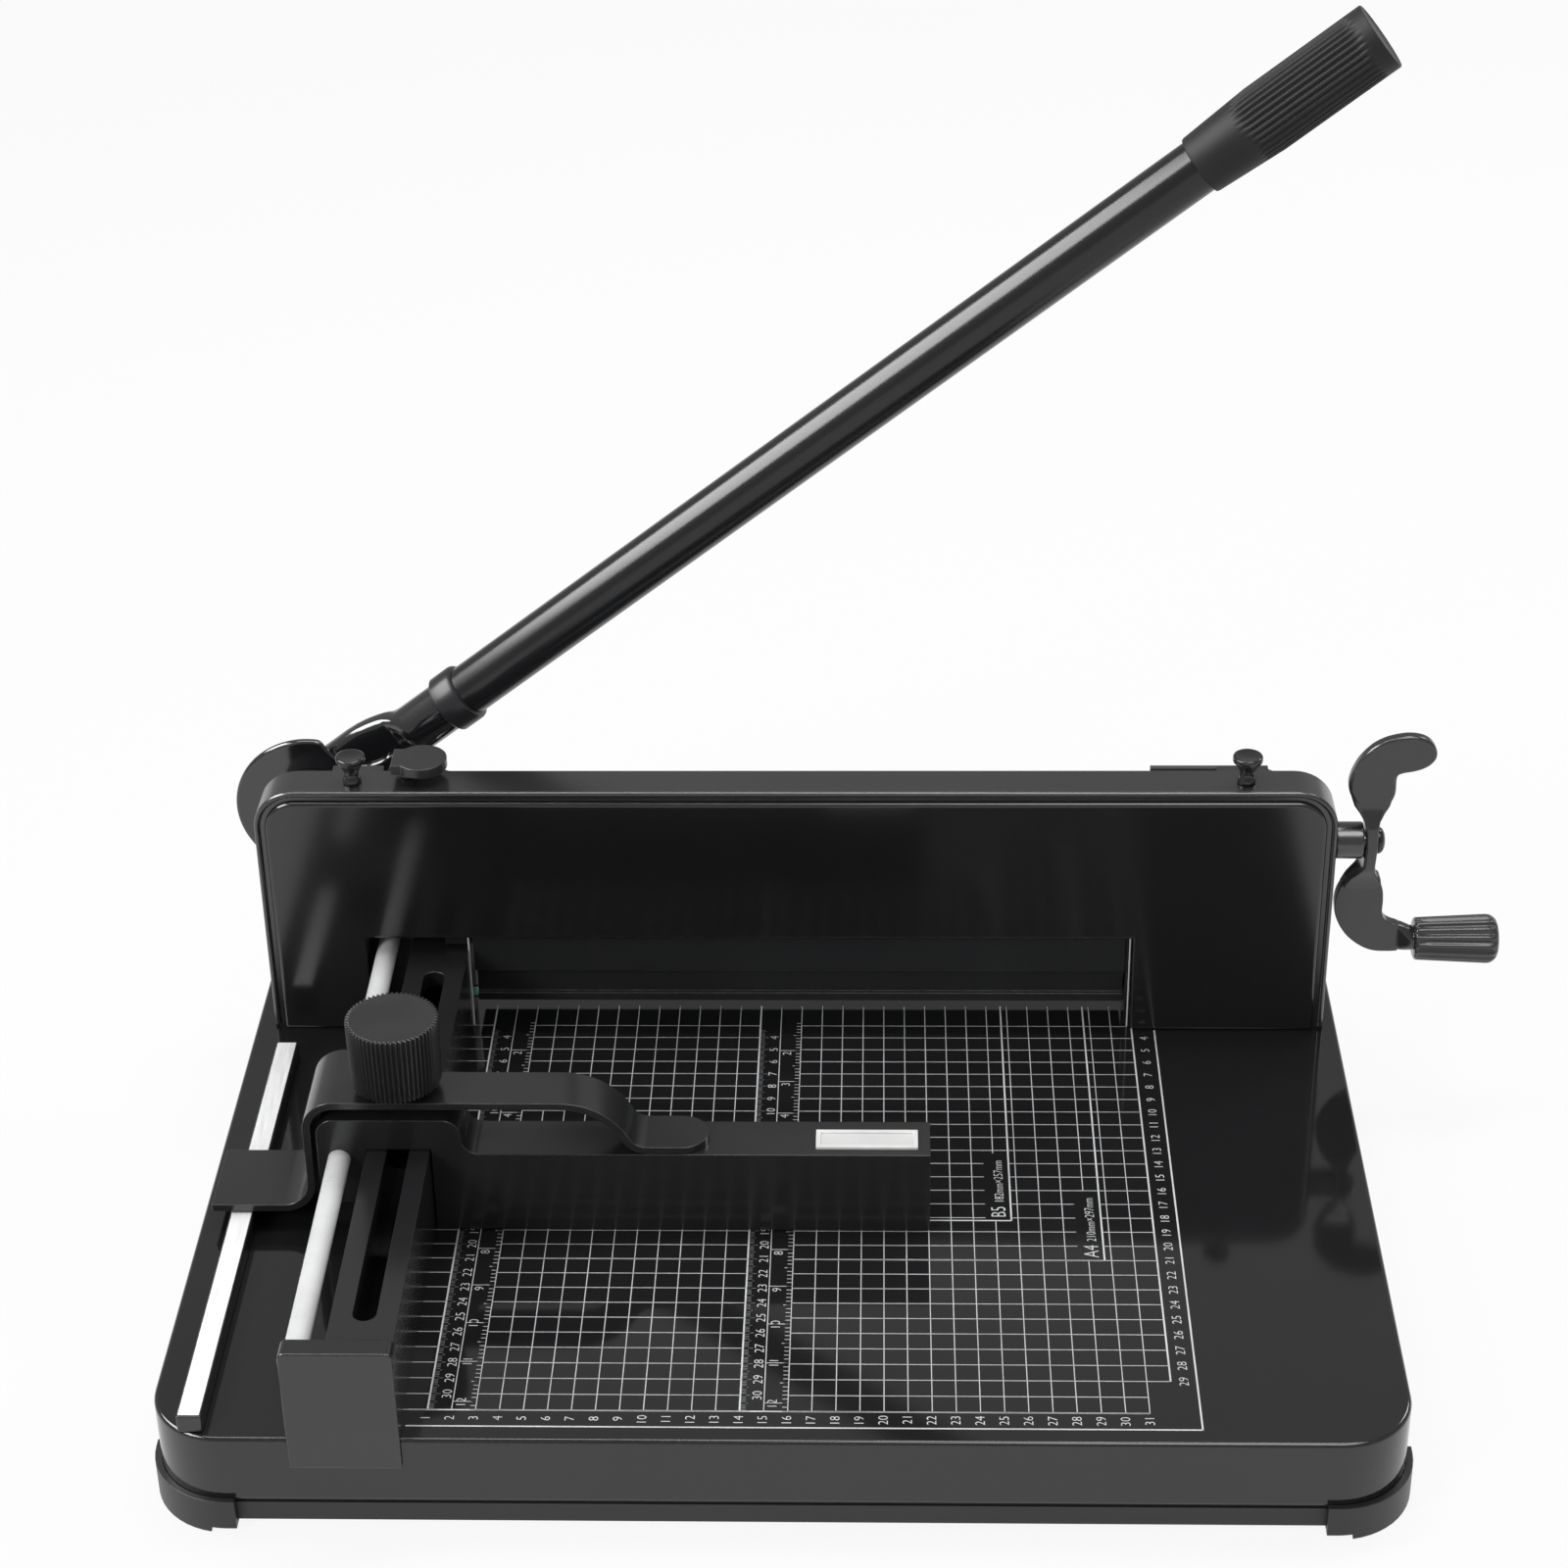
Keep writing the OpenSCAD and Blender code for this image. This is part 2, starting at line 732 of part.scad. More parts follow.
// a ribbed disc outline
module ribbed(r, ribs, depth) {
    polygon([for (i = [0 : 2 * ribs - 1])
        let (a = 180 * i / ribs, q = i % 2 == 0 ? r : r - depth)
            [q * cos(a), q * sin(a)]]);
}

// places a child at each corner of the base
module each_corner() {
    for (sx = [0, 1], sy = [0, 1])
        mirror([sx, 0, 0])
            mirror([0, sy, 0])
                children();
}

// moves to a foot screw
module at_foot_screw() {
    translate([base_w / 2 - foot_screw_in, base_d / 2 - foot_screw_in, 0])
        children();
}

// Base

module base_tray() {
    color("#17181a")
        difference() {
            base_slab(0, tray_z, table_z);
            base_slab(tray_wall, tray_z - eps, table_z - table_t);
            at_zero()
                box([-blade_left - blade_run - stick_gap, -stick_w / 2 - stick_gap, -stick_h],
                    [blade_x1 + stick_gap, stick_w / 2 + stick_gap, eps]);
        }
}

module bottom_pan() {
    color("#1a1b1d")
        difference() {
            union() {
                base_slab(pan_inset, pan_z, pan_z + pan_h);
                base_slab(seam_inset, pan_z + pan_h, tray_z);
            }
            base_slab(pan_wall, pan_z + pan_floor, tray_z + eps);
            each_corner()
                at_foot_screw()
                    rod_along_z(foot_screw_d + 2 * fit, pan_z - eps, tray_z);
        }
}

// one foot, at the right rear corner
module foot() {
    x0 = base_w / 2;
    y0 = base_d / 2;
    difference() {
        union() {
            intersection() {
                base_slab(-foot_lip, pad_h, foot_h);
                box([x0 - foot_reach, y0 - foot_reach, pad_h], [x0 + foot_lip, y0 + foot_lip, foot_h]);
            }
            intersection() {
                base_slab(-foot_lip, 0, pad_h);
                box([x0 - pad_reach, y0 - pad_reach, 0], [x0 + foot_lip, y0 + foot_lip, pad_h]);
            }
        }
        base_slab(0, foot_floor, foot_h + eps);
        at_foot_screw()
            rod_along_z(foot_screw_d + 2 * fit, -eps, foot_floor + eps);
        at_foot_screw()
            rod_along_z(foot_head_d + 1, -eps, pad_h);
    }
}

module corner_feet() {
    color("#26272a")
        each_corner()
            foot();
}

module foot_screws() {
    color("#8c9094")
        each_corner()
            at_foot_screw() {
                rod_along_z(foot_head_d, pad_h / 4, pad_h);
                rod_along_z(foot_screw_d, pad_h, pan_z + pan_floor + 2);
            }
}

module cutting_stick() {
    color("#2f7d6b")
        at_zero()
            box([-blade_left - blade_run, -stick_w / 2, -stick_h], [blade_x1, stick_w / 2, 0]);
}

// Table fittings

module scale_bar() {
    color("#4a4c4f")
        at_zero()
            translate([scale_margin - left_margin, base_front + scale_front, 0])
                cube([scale_w, scale_len, scale_h]);
}

module scale_tape() {
    color("#c9cccf")
        at_zero()
            translate([scale_margin - left_margin + tape_edge, base_front + scale_front + tape_edge, scale_h])
                cube([scale_w - 2 * tape_edge, scale_len - 2 * tape_edge, tape_t]);
}

module slotted_rail() {
    color("#1b1c1e")
        at_zero()
            difference() {
                box([-rail_w, rail_y0, 0], [0, frame_y0, rail_h]);
                box([rail_mid - rail_hollow / 2, rail_y0 - eps, -eps],
                    [rail_mid + rail_hollow / 2, frame_y0 + eps, rail_h - rail_top]);
                linear_extrude(rail_h + eps)
                    slot([rail_mid, rail_y0 + slot_front + rail_slot / 2],
                        [rail_mid, frame_y0 - slot_rear - rail_slot / 2], rail_slot / 2);
            }
}

module guide_rod() {
    color("#d5d6d4")
        at_zero()
            translate([rod_x, 0, rod_z])
                rod_along_y(rod_d, rail_y0 - socket, frame_y0 + socket);
}

module front_bracket() {
    color("#1d1e20")
        at_zero()
            difference() {
                union() {
                    upright(base_front - skirt_t, rail_y0)
                        gate(1 - bracket_w, 1, rail_h + bracket_rise, bracket_r);
                    box([1 - bracket_w, base_front - skirt_t, -skirt_drop], [1, base_front, 0]);
                }
                translate([rod_x, 0, rod_z])
                    rod_along_y(rod_d + 2 * fit, rail_y0 - socket, rail_y0 + eps);
            }
}

// Housing

module frame_plate() {
    color("#202124")
        at_zero()
            difference() {
                upright(frame_y0, frame_y1)
                    difference() {
                        gate(frame_x0, frame_x1, frame_h, panel_corner);
                        translate([portal_x0, -eps])
                            square([portal_x1 - portal_x0, portal_h + eps]);
                        translate([pivot_x, pivot_z])
                            circle(d = pivot_d + 2 * fit);
                    }
                translate([rod_x, 0, rod_z])
                    rod_along_y(rod_d + 2 * fit, frame_y0 - eps, frame_y0 + socket);
            }
}

module housing_wrap() {
    color("#141517")
        at_zero()
            difference() {
                upright(wrap_y0, wrap_y1)
                    gate(wrap_x0, wrap_x1, housing_h, housing_corner);
                upright(wall_y, wrap_y1 + eps)
                    translate([0, -eps])
                        gate(wrap_x0 + housing_skin, wrap_x1 - housing_skin, cover_in_z + eps,
                            housing_corner - housing_skin);
                box([-throat_left, wrap_y0 - eps, -eps], [throat_w, wall_y + eps, throat_h]);
                for (x = thumb_x)
                    translate([x, thumb_y, 0])
                        rod_along_z(thumb_d + 4 * fit, cover_in_z - eps, housing_h + eps);
                translate([lock_x, lock_y, 0])
                    rod_along_z(lock_shaft_d + 2 * fit, cover_in_z - eps, housing_h + eps);
                translate([0, shaft_y, shaft_z])
                    rod_along_x(shaft_d + 20 * fit, wrap_x1 - housing_skin - eps, wrap_x1 + eps);
            }
}

module front_panel() {
    color("#131416")
        at_zero()
            upright(wrap_y0 - panel_t, wrap_y0)
                difference() {
                    gate(wrap_x0 + panel_inset, wrap_x1 - panel_inset, housing_h - panel_inset, panel_corner);
                    translate([-throat_left, -eps])
                        square([throat_left + throat_w, throat_h + eps]);
                }
}

module cover_tabs() {
    color("#2a2b2e")
        at_zero()
            for (x = thumb_x)
                difference() {
                    box([x - tab_w / 2, clamp_y0, cover_in_z - tab_t], [x + tab_w / 2, frame_y1, cover_in_z]);
                    box([x - tab_w, frame_y0, cover_in_z - tab_t - eps], [x + tab_w, 0, frame_h]);
                    translate([x, thumb_y, 0])
                        rod_along_z(thumb_d + 2 * fit, cover_in_z - tab_t - eps, cover_in_z + eps);
                }
}

module thumb_screws() {
    flange_h = thumb_h * 0.1;
    neck_r = thumb_neck_d / 2;
    head_r = thumb_head_d / 2;
    color("#1c1d1f")
        at_zero()
            for (x = thumb_x)
                translate([x, thumb_y, housing_h]) {
                    rod_along_z(thumb_flange_d, 0, flange_h);
                    rod_along_z(thumb_neck_d, 0, thumb_h - 1);
                    rotate_extrude()
                        polygon([[0, thumb_h * 0.35], [neck_r, thumb_h * 0.35], [head_r - 1, thumb_h * 0.7],
                            [head_r, thumb_h * 0.78], [head_r, thumb_h * 0.94], [head_r - 1, thumb_h], [0, thumb_h]]);
                    rod_along_z(thumb_d, -housing_skin - tab_t - 2, 0);
                }
}

module lock_knob() {
    color("#1c1d1f")
        at_zero()
            translate([lock_x, lock_y, housing_h]) {
                rod_along_z(lock_boss_d, slide_gap, lock_boss_h);
                rod_along_z(lock_shaft_d, -housing_skin - slide_gap, slide_gap);
                translate([0, 0, lock_boss_h])
                    linear_extrude(lock_t) {
                        translate([lock_reach, 0])
                            circle(lock_r);
                        translate([-lock_side, -lock_side_w / 2])
                            square([lock_side + lock_reach, lock_side_w]);
                    }
            }
}

module lock_cam() {
    color("#8c9094")
        at_zero()
            translate([lock_x, lock_y, cover_in_z - slide_gap - cam_t])
                linear_extrude(cam_t)
                    translate([0, -lock_shaft_d / 4])
                        circle(cam_r - lock_shaft_d / 4);
}

// Clamp and its drive

module clamp_bar() {
    foot_y = clamp_y0 + clamp_set;
    z0 = clamp_rest;
    color("#26282b")
        at_zero()
            difference() {
                union() {
                    along(clamp_left, clamp_x1)
                        polygon([[foot_y - clamp_lip, z0], [-clamp_blade_gap, z0],
                            [-clamp_blade_gap, z0 + clamp_foot_h],
                            [clamp_y0 + clamp_beam_t, z0 + clamp_foot_h],
                            [clamp_y0 + clamp_beam_t, z0 + clamp_h], [clamp_y0, z0 + clamp_h],
                            [clamp_y0, z0 + clamp_foot_h * 2], [foot_y, z0 + clamp_foot_h * 2],
                            [foot_y, z0 + clamp_lip_h], [foot_y - clamp_lip, z0 + clamp_lip_h]]);
                    for (x = pin_x)
                        upright(clamp_y1 - ear_t, clamp_y1)
                            translate([x - ear_w / 2, z0 + clamp_h - eps])
                                gate(0, ear_w, pin_z + ear_w / 2 - z0 - clamp_h + eps, ear_w / 2 - 1);
                }
                for (x = pin_x)
                    translate([x, 0, pin_z])
                        rod_along_y(pin_d + 2 * fit, clamp_y1 - ear_t - eps, clamp_y1 + eps);
            }
}

module clamp_pins() {
    color("#9a9da1")
        at_zero()
            for (x = pin_x)
                translate([x, 0, pin_z]) {
                    rod_along_y(pin_head_d, clamp_y1 - ear_t - pin_head_h, clamp_y1 - ear_t);
                    rod_along_y(pin_d, clamp_y1 - ear_t, wedge_y1);
                }
}

module clamp_guides() {
    rest_top = clamp_rest + clamp_h;
    color("#2a2b2e")
        at_zero() {
            along(clamp_left - slide_gap - guide_t, clamp_left - slide_gap)
                polygon([[clamp_y0, rail_h + 2], [frame_y0, rail_h + 2], [frame_y0, portal_h],
                    [clamp_y1, portal_h], [clamp_y1, rest_top + clamp_up], [clamp_y0, rest_top + clamp_up]]);
            box([clamp_x1 + slide_gap, clamp_y0, 0],
                [clamp_x1 + slide_gap + guide_t, frame_y0, rest_top + clamp_up]);
        }
}

module wedge_bar() {
    color("#6d7176")
        at_zero()
            upright(wedge_y0, wedge_y1)
                difference() {
                    translate([wedge_x0, wedge_z0])
                        square([wedge_x1 - wedge_x0, wedge_z1 - wedge_z0]);
                    for (x = pin_x)
                        slot([x - clamp_down, pin_z - clamp_down], [x + clamp_up, pin_z + clamp_up], slot_r);
                }
}

module wedge_strips() {
    color("#3a3c40")
        at_zero() {
            box([clamp_left, wedge_y0, wedge_z0 - slide_gap - strip_t], [wedge_x1, frame_y0, wedge_z0 - slide_gap]);
            box([clamp_left, wedge_y0, wedge_z1 + slide_gap],
                [clamp_left + strip_len, frame_y0, wedge_z1 + slide_gap + strip_t]);
        }
}

module screw_nut() {
    color("#a98b4a")
        at_zero()
            difference() {
                box([nut_left, clamp_y0, shaft_z - nut_h / 2], [wedge_x1, wedge_y0, shaft_z + nut_h / 2]);
                translate([0, shaft_y, shaft_z])
                    rod_along_x(shaft_d + 2 * fit, nut_left - eps, wedge_x1 + eps);
            }
}

module clamp_shaft() {
    color("#8f9398")
        at_zero()
            translate([0, shaft_y, shaft_z])
                difference() {
                    rod_along_x(shaft_d, bearing_left, crank_x1);
                    rod_along_x(shaft_d / 2 + 2 * fit, crank_x1 - 12, crank_x1 + eps);
                }
}

module shaft_bearings() {
    z0 = shaft_z - nut_h / 2;
    x1 = wrap_x1 - housing_skin - bearing_right;
    color("#3a3c40")
        at_zero()
            difference() {
                union() {
                    along(bearing_left, bearing_left + bearing_len)
                        polygon([[clamp_y0, z0], [clamp_y1, z0], [clamp_y1, wedge_z1 + slide_gap],
                            [frame_y0, wedge_z1 + slide_gap], [frame_y0, frame_h], [clamp_y0, frame_h]]);
                    box([x1, clamp_y0, z0], [x1 + bearing_len, frame_y0, z0 + nut_h]);
                }
                translate([0, shaft_y, shaft_z])
                    rod_along_x(shaft_d + 2 * fit, bearing_left - eps, wrap_x1);
            }
}

module shaft_bush() {
    color("#2b2c2f")
        at_zero()
            translate([0, shaft_y, shaft_z])
                difference() {
                    rod_along_x(bush_d, wrap_x1, wrap_x1 + bush_len);
                    rod_along_x(shaft_d + 20 * fit, wrap_x1 - eps, wrap_x1 + bush_len + eps);
                }
}

// outline of the upper lobe, from the shaft axis
module upper_lobe() {
    hub = hub_strip_t / 2;
    mid = lobe_r / 2;
    intersection() {
        translate([mid, lobe_reach])
            circle(lobe_r);
        polygon([[-lobe_r, lobe_reach], [mid - 4, lobe_reach], [mid - 4, lobe_reach + 5],
            [mid + 3, lobe_reach + 5], [mid + 3, 2 * lobe_r + lobe_reach], [-lobe_r, 2 * lobe_r + lobe_reach]]);
    }
    translate([mid + 3, lobe_reach + lobe_r - tab_r])
        circle(tab_r);
    polygon([[-hub, hub_strip_r / 2], [hub, hub_strip_r / 2], [mid - 4, lobe_reach - 7],
        [mid - 4, lobe_reach + 0.1], [mid - lobe_r, lobe_reach + 0.1], [mid - lobe_r + 1, lobe_reach - 6]]);
}

// outline of the lower lobe, from the shaft axis
module lower_lobe() {
    hub = hub_strip_t / 2;
    mid = lobe_r / 2 - 2;
    intersection() {
        translate([mid, -crank_reach + lobe_r - grip_boss_d / 2])
            circle(lobe_r);
        polygon([[-lobe_r, -lobe_reach], [mid - 4, -lobe_reach], [mid - 4, -crank_reach],
            [mid + 2, -crank_reach], [mid + 2, -crank_reach - lobe_r], [-lobe_r, -crank_reach - lobe_r]]);
    }
    polygon([[-hub, -hub_strip_r / 2], [hub, -hub_strip_r / 2], [mid - 4, -lobe_reach + 7],
        [mid - 4, -lobe_reach - 0.1], [mid - lobe_r + 0.2, -lobe_reach - 0.1],
        [mid - lobe_r + 1, -lobe_reach + 6]]);
}

module crank_arm() {
    color("#1a1b1d")
        at_zero()
            translate([crank_mid, shaft_y, shaft_z])
                difference() {
                    union() {
                        along(-hub_strip_t / 2, hub_strip_t / 2)
                            round_rect(hub_strip_w, 2 * hub_strip_r, hub_strip_w / 2 - 0.5);
                        upright(-lobe_t / 2, lobe_t / 2)
                            upper_lobe();
                        upright(-lobe_t / 2, lobe_t / 2)
                            lower_lobe();
                        translate([0, 0, -crank_reach])
                            rod_along_x(grip_boss_d, lobe_r / 2 - 6, lobe_r - 1.5);
                    }
                    rod_along_x(shaft_d + 2 * fit, -lobe_r, hub_strip_t / 2 + eps);
                    rod_along_x(crank_screw_d + 1, hub_strip_t / 2, lobe_r);
                    rod_along_x(bush_d + 2, -lobe_r, -hub_strip_t / 2);
                    translate([0, 0, -crank_reach])
                        rod_along_x(spindle_d + 2 * fit, lobe_r / 2 - 4, lobe_r);
                }
}

module crank_screw() {
    color("#232427")
        at_zero()
            translate([crank_x1, shaft_y, shaft_z]) {
                rod_along_x(shaft_d / 2, -12, 0);
                rotate([0, 90, 0])
                    rotate_extrude()
                        polygon(concat([[0, 0]], [for (a = [0 : 15 : 90])
                            [crank_screw_d / 2 * cos(a), crank_screw_h * (0.3 + 0.7 * sin(a))]],
                            [[0, crank_screw_h]]));
                rod_along_x(crank_screw_d, 0, crank_screw_h * 0.3);
            }
}

module crank_spindle() {
    color("#9a9da1")
        at_zero()
            translate([crank_mid, shaft_y, grip_z])
                rod_along_x(spindle_d, lobe_r / 2 - 4, lobe_r + crank_grip_len - 6);
}

module crank_grip() {
    r1 = crank_grip_d1 / 2;
    r2 = crank_grip_d2 / 2;
    end = crank_grip_len;
    color("#1d1e20")
        at_zero()
            translate([grip_x, shaft_y, grip_z])
                rotate([0, 90, 0])
                    rotate_extrude()
                        polygon(concat([[spindle_d / 2 + fit, 0], [r1 - 1, 0], [r1, 1]],
                            arc(r2 - 5, end - 5, 5, 0, 90, 8),
                            [[0, end], [0, end - 4], [spindle_d / 2 + fit, end - 4]]));
}

// Cutting head

module pivot_block() {
    color("#26272a")
        at_zero()
            translate([pivot_x, 0, pivot_z])
                difference() {
                    rod_along_y(pivot_block_d, frame_y1, hub_y0 - slide_gap);
                    rod_along_y(pivot_d + 2 * fit, frame_y1 - eps, hub_y0);
                }
}

module lever_pivot() {
    color("#9a9da1")
        at_zero()
            translate([pivot_x, 0, pivot_z]) {
                rod_along_y(pivot_d, frame_y0, hub_y1 + slide_gap);
                rod_along_y(pivot_end_d, hub_y1 + slide_gap, hub_y1 + slide_gap + pivot_nut_h);
            }
}

module pivot_nut() {
    color("#8c9094")
        at_zero()
            translate([pivot_x, 0, pivot_z])
                difference() {
                    upright(hub_y1 + slide_gap, hub_y1 + slide_gap + pivot_nut_h)
                        circle(d = pivot_nut_w / cos(30), $fn = 6);
                    rod_along_y(pivot_end_d + 2 * fit, hub_y1, hub_y1 + slide_gap + pivot_nut_h + eps);
                }
}

// moves to the pivot, with x along the resting lever
module at_lever() {
    at_zero()
        translate([pivot_x, lever_y, pivot_z])
            rotate([0, -lever_rest, 0])
                children();
}

// outline of the drive arm, from half a width at the pivot that is kept as far as a shoulder
module arm_outline(half_w, shoulder) {
    top = shoulder < drive_r ? half_w * 0.8 : drive_end_r;
    polygon([[0, half_w], [shoulder, top], [drive_r, drive_end_r], [drive_r, -drive_end_r], [0, -half_w]]);
}

module lever_arm() {
    drop = drive_rest - lever_rest;
    half = tube_d / 2;
    face = -hub_t / 2;
    disc_back = face + disc_in + disc_t;
    color("#18191b")
        at_lever()
            difference() {
                union() {
                    rod_along_y(2 * boss_r, face, hub_t / 2);
                    upright(face + disc_in, disc_back)
                        rotate(drop)
                            difference() {
                                union() {
                                    circle(hub_r);
                                    arm_outline(hub_r * 0.95, scoop_at + scoop_r * 0.7);
                                }
                                translate([scoop_at, scoop_up])
                                    circle(scoop_r);
                            }
                    upright(face, face + drive_t)
                        rotate(drop) {
                            arm_outline(boss_r * 0.8, drive_r);
                            translate([drive_r, 0])
                                circle(drive_end_r);
                        }
                    upright(disc_back, hub_t / 2)
                        polygon(concat([[0, neck_up]],
                            arc(neck_bend_at, neck_up - neck_bend_r, neck_bend_r, 90, 64),
                            [[neck_round_at + neck_nose, half * 0.6], [neck_round_at + neck_nose, -half * 0.6],
                            [neck_round_at - neck_nose, -half], [boss_r, -boss_r * 0.8], [0, -boss_r * 0.9]]));
                    rotate([0, 90, 0])
                        rotate_extrude()
                            polygon(concat([[0, neck_round_at - neck_nose]],
                                [for (a = [75 : -15 : 0]) [half * cos(a), neck_round_at - neck_nose * sin(a)]],
                                [[half, collar_at], [0, collar_at]]));
                    rod_along_x(tube_d - 2 * tube_wall - 2 * fit, collar_at - eps, collar_at + 3 * collar_len);
                }
                rod_along_y(pivot_d + 2 * fit, -hub_t, hub_t);
                rotate([0, -drop, 0])
                    translate([drive_r, 0, 0])
                        rod_along_y(drive_pin_d + 2 * fit, -hub_t, hub_t);
            }
}

module lever_collar() {
    color("#1f2022")
        at_lever()
            difference() {
                rod_along_x(collar_d, collar_at, collar_at + collar_len);
                rod_along_x(tube_d + 2 * fit, collar_at - eps, collar_at + collar_len + eps);
            }
}

module lever_tube() {
    color("#151618")
        at_lever()
            difference() {
                rod_along_x(tube_d, collar_at, grip_at + grip_len - 10);
                rod_along_x(tube_d - 2 * tube_wall, collar_at - eps, grip_at + grip_len);
            }
}

module lever_grip() {
    r1 = grip_d1 / 2;
    r2 = grip_d2 / 2;
    bore = tube_d / 2 + fit;
    stop = grip_len - 10;
    color("#1e1f21")
        at_lever()
            translate([grip_at, 0, 0])
                rotate([0, 90, 0])
                    rotate_extrude()
                        polygon([[bore, 0], [r1, 0], [r1 + 0.2, grip_len * 0.3], [r2 - 0.4, grip_len * 0.6],
                            [r2, grip_len * 0.85], [r2 - 0.5, grip_len - 3], [r2 - 3, grip_len], [0, grip_len],
                            [0, stop], [bore, stop]]);
}

module drive_pin() {
    color("#9a9da1")
        at_zero()
            translate([drive_x, 0, drive_z]) {
                rod_along_y(roller_d, blade_t + slide_gap, carrier_y1);
                rod_along_y(drive_pin_d, carrier_y1, hub_y0 + drive_t);
            }
}

// x of a blade bolt
function bolt_x(i) = bolt_left - blade_left + i * bolt_pitch;

module blade_carrier() {
    color("#3c3f43")
        at_zero()
            upright(blade_t, carrier_y1)
                difference() {
                    polygon([[left_end(carrier_z0), carrier_z0], [right_end(carrier_z0), carrier_z0],
                        [right_end(carrier_z1), carrier_z1], [left_end(carrier_z1), carrier_z1]]);
                    slot([drive_x + min(yoke_runs), drive_z - yoke_sag / 2],
                        [drive_x + max(yoke_runs), drive_z - yoke_sag / 2], yoke_r);
                    for (i = [0 : bolt_count - 1])
                        translate([bolt_x(i), blade_rest + bolt_z])
                            circle(d = bolt_d + 2 * fit);
                }
}

module blade() {
    z0 = blade_rest;
    z1 = blade_rest + blade_h;
    color("#b9bdc2")
        at_zero()
            difference() {
                intersection() {
                    along(-blade_left, blade_x1)
                        polygon([[0, z0], [edge_t, z0], [blade_t, z0 + bevel_h], [blade_t, z1], [0, z1]]);
                    upright(-eps, blade_t + eps)
                        gate(-blade_left, blade_x1, z1, blade_r);
                }
                for (i = [0 : bolt_count - 1])
                    translate([bolt_x(i), 0, z0 + bolt_z])
                        rod_along_y(bolt_d + 2 * fit, -eps, blade_t + eps);
            }
}

module blade_bolts() {
    color("#7b7f84")
        at_zero()
            for (i = [0 : bolt_count - 1])
                translate([bolt_x(i), 0, blade_rest + bolt_z]) {
                    rod_along_y(bolt_head_d, carrier_y1, carrier_y1 + bolt_head_h);
                    rod_along_y(bolt_d, slide_gap, carrier_y1);
                }
}

gib_z1 = gib_z + gib_h;

// heights of the cap screws
cap_screw_z = [gib_z + gib_h * 0.15, gib_z + gib_h * 0.5, gib_z + gib_h * 0.85];

// x of the middle of the left and right guide rail at a height
function left_gib(z) = left_end(z) - slide_gap - gib_w / 2;
function right_gib(z) = right_end(z) + slide_gap + gib_w / 2;

module guide_rails() {
    color("#33353a")
        at_zero()
            difference() {
                upright(frame_y1, gib_y1) {
                    polygon([[left_gib(gib_z) - gib_w / 2, gib_z], [left_gib(gib_z) + gib_w / 2, gib_z],
                        [left_gib(gib_z1) + gib_w / 2, gib_z1], [left_gib(gib_z1) - gib_w / 2, gib_z1]]);
                    polygon([[right_gib(gib_z) - gib_w / 2, gib_z], [right_gib(gib_z) + gib_w / 2, gib_z],
                        [right_gib(gib_z1) + gib_w / 2, gib_z1], [right_gib(gib_z1) - gib_w / 2, gib_z1]]);
                }
                for (z = cap_screw_z, x = [left_gib(z), right_gib(z)])
                    translate([x, 0, z])
                        rod_along_y(cap_screw_d + 2 * fit, gib_y1 - cap_screw_len - eps, gib_y1 + eps);
            }
}

module guide_caps() {
    top = gib_z1 + cap_rise;
    reach = gib_w / 2 + 1;
    color("#232427")
        at_zero()
            difference() {
                upright(gib_y1, cap_y1) {
                    polygon([[left_gib(gib_z) - reach, gib_z], [left_end(gib_z) + cap_lap, gib_z],
                        [left_end(top) + cap_lap, top], [left_gib(top) - reach, top]]);
                    polygon(concat([[right_end(gib_z) - cap_lap, gib_z], [right_gib(gib_z) + reach, gib_z],
                        [cap_right, top * 0.6]], arc(cap_right - cap_r, top - cap_r, cap_r, 0, 90),
                        [[cap_inner, top], [cap_inner, top * 0.4]]));
                }
                for (z = cap_screw_z, x = [left_gib(z), right_gib(z)])
                    translate([x, 0, z]) {
                        rod_along_y(cap_screw_d + 2 * fit, gib_y1 - eps, cap_y1 + eps);
                        rod_along_y(cap_head_d + 0.6, cap_y1 - cap_head_h, cap_y1 + eps);
                    }
            }
}

module cap_screws() {
    color("#8c9094")
        at_zero()
            for (z = cap_screw_z, x = [left_gib(z), right_gib(z)])
                translate([x, 0, z]) {
                    rod_along_y(cap_head_d, cap_y1 - cap_head_h, cap_y1 - 0.1);
                    rod_along_y(cap_screw_d, cap_y1 - cap_screw_len, cap_y1 - cap_head_h);
                }
}

// Back gauge

module gauge_bar() {
    color("#1a1b1d")
        at_zero()
            difference() {
                upright(gauge_y0, -gauge_at)
                    difference() {
                        union() {
                            translate([0, gauge_gap])
                                square([gauge_len, gauge_h - gauge_gap]);
                            translate([0, leg_z])
                                gate(-hump_left, hump_right, hump_h - leg_z, hump_r);
                            translate([hump_right, gauge_h - eps])
                                difference() {
                                    square([hump_r, hump_r + eps]);
                                    translate([hump_r, hump_r + eps])
                                        circle(hump_r);
                                }
                        }
                        translate([-rail_w - saddle_gap, -eps])
                            square([rail_w + 2 * saddle_gap, rail_h + saddle_gap + eps]);
                        translate([rod_x, rod_z])
                            circle(d = rod_d + 2 * fit);
                    }
                translate([rail_mid, knob_y, 0])
                    rod_along_z(stud_d + 2 * fit, rail_h, hump_h + eps);
            }
}

// a bent band of the strap, between two angles
module band(x, z, r, a0, a1) {
    polygon(concat(arc(x, z, r, a0, a1), arc(x, z, r - strap_t, a1, a0)));
}

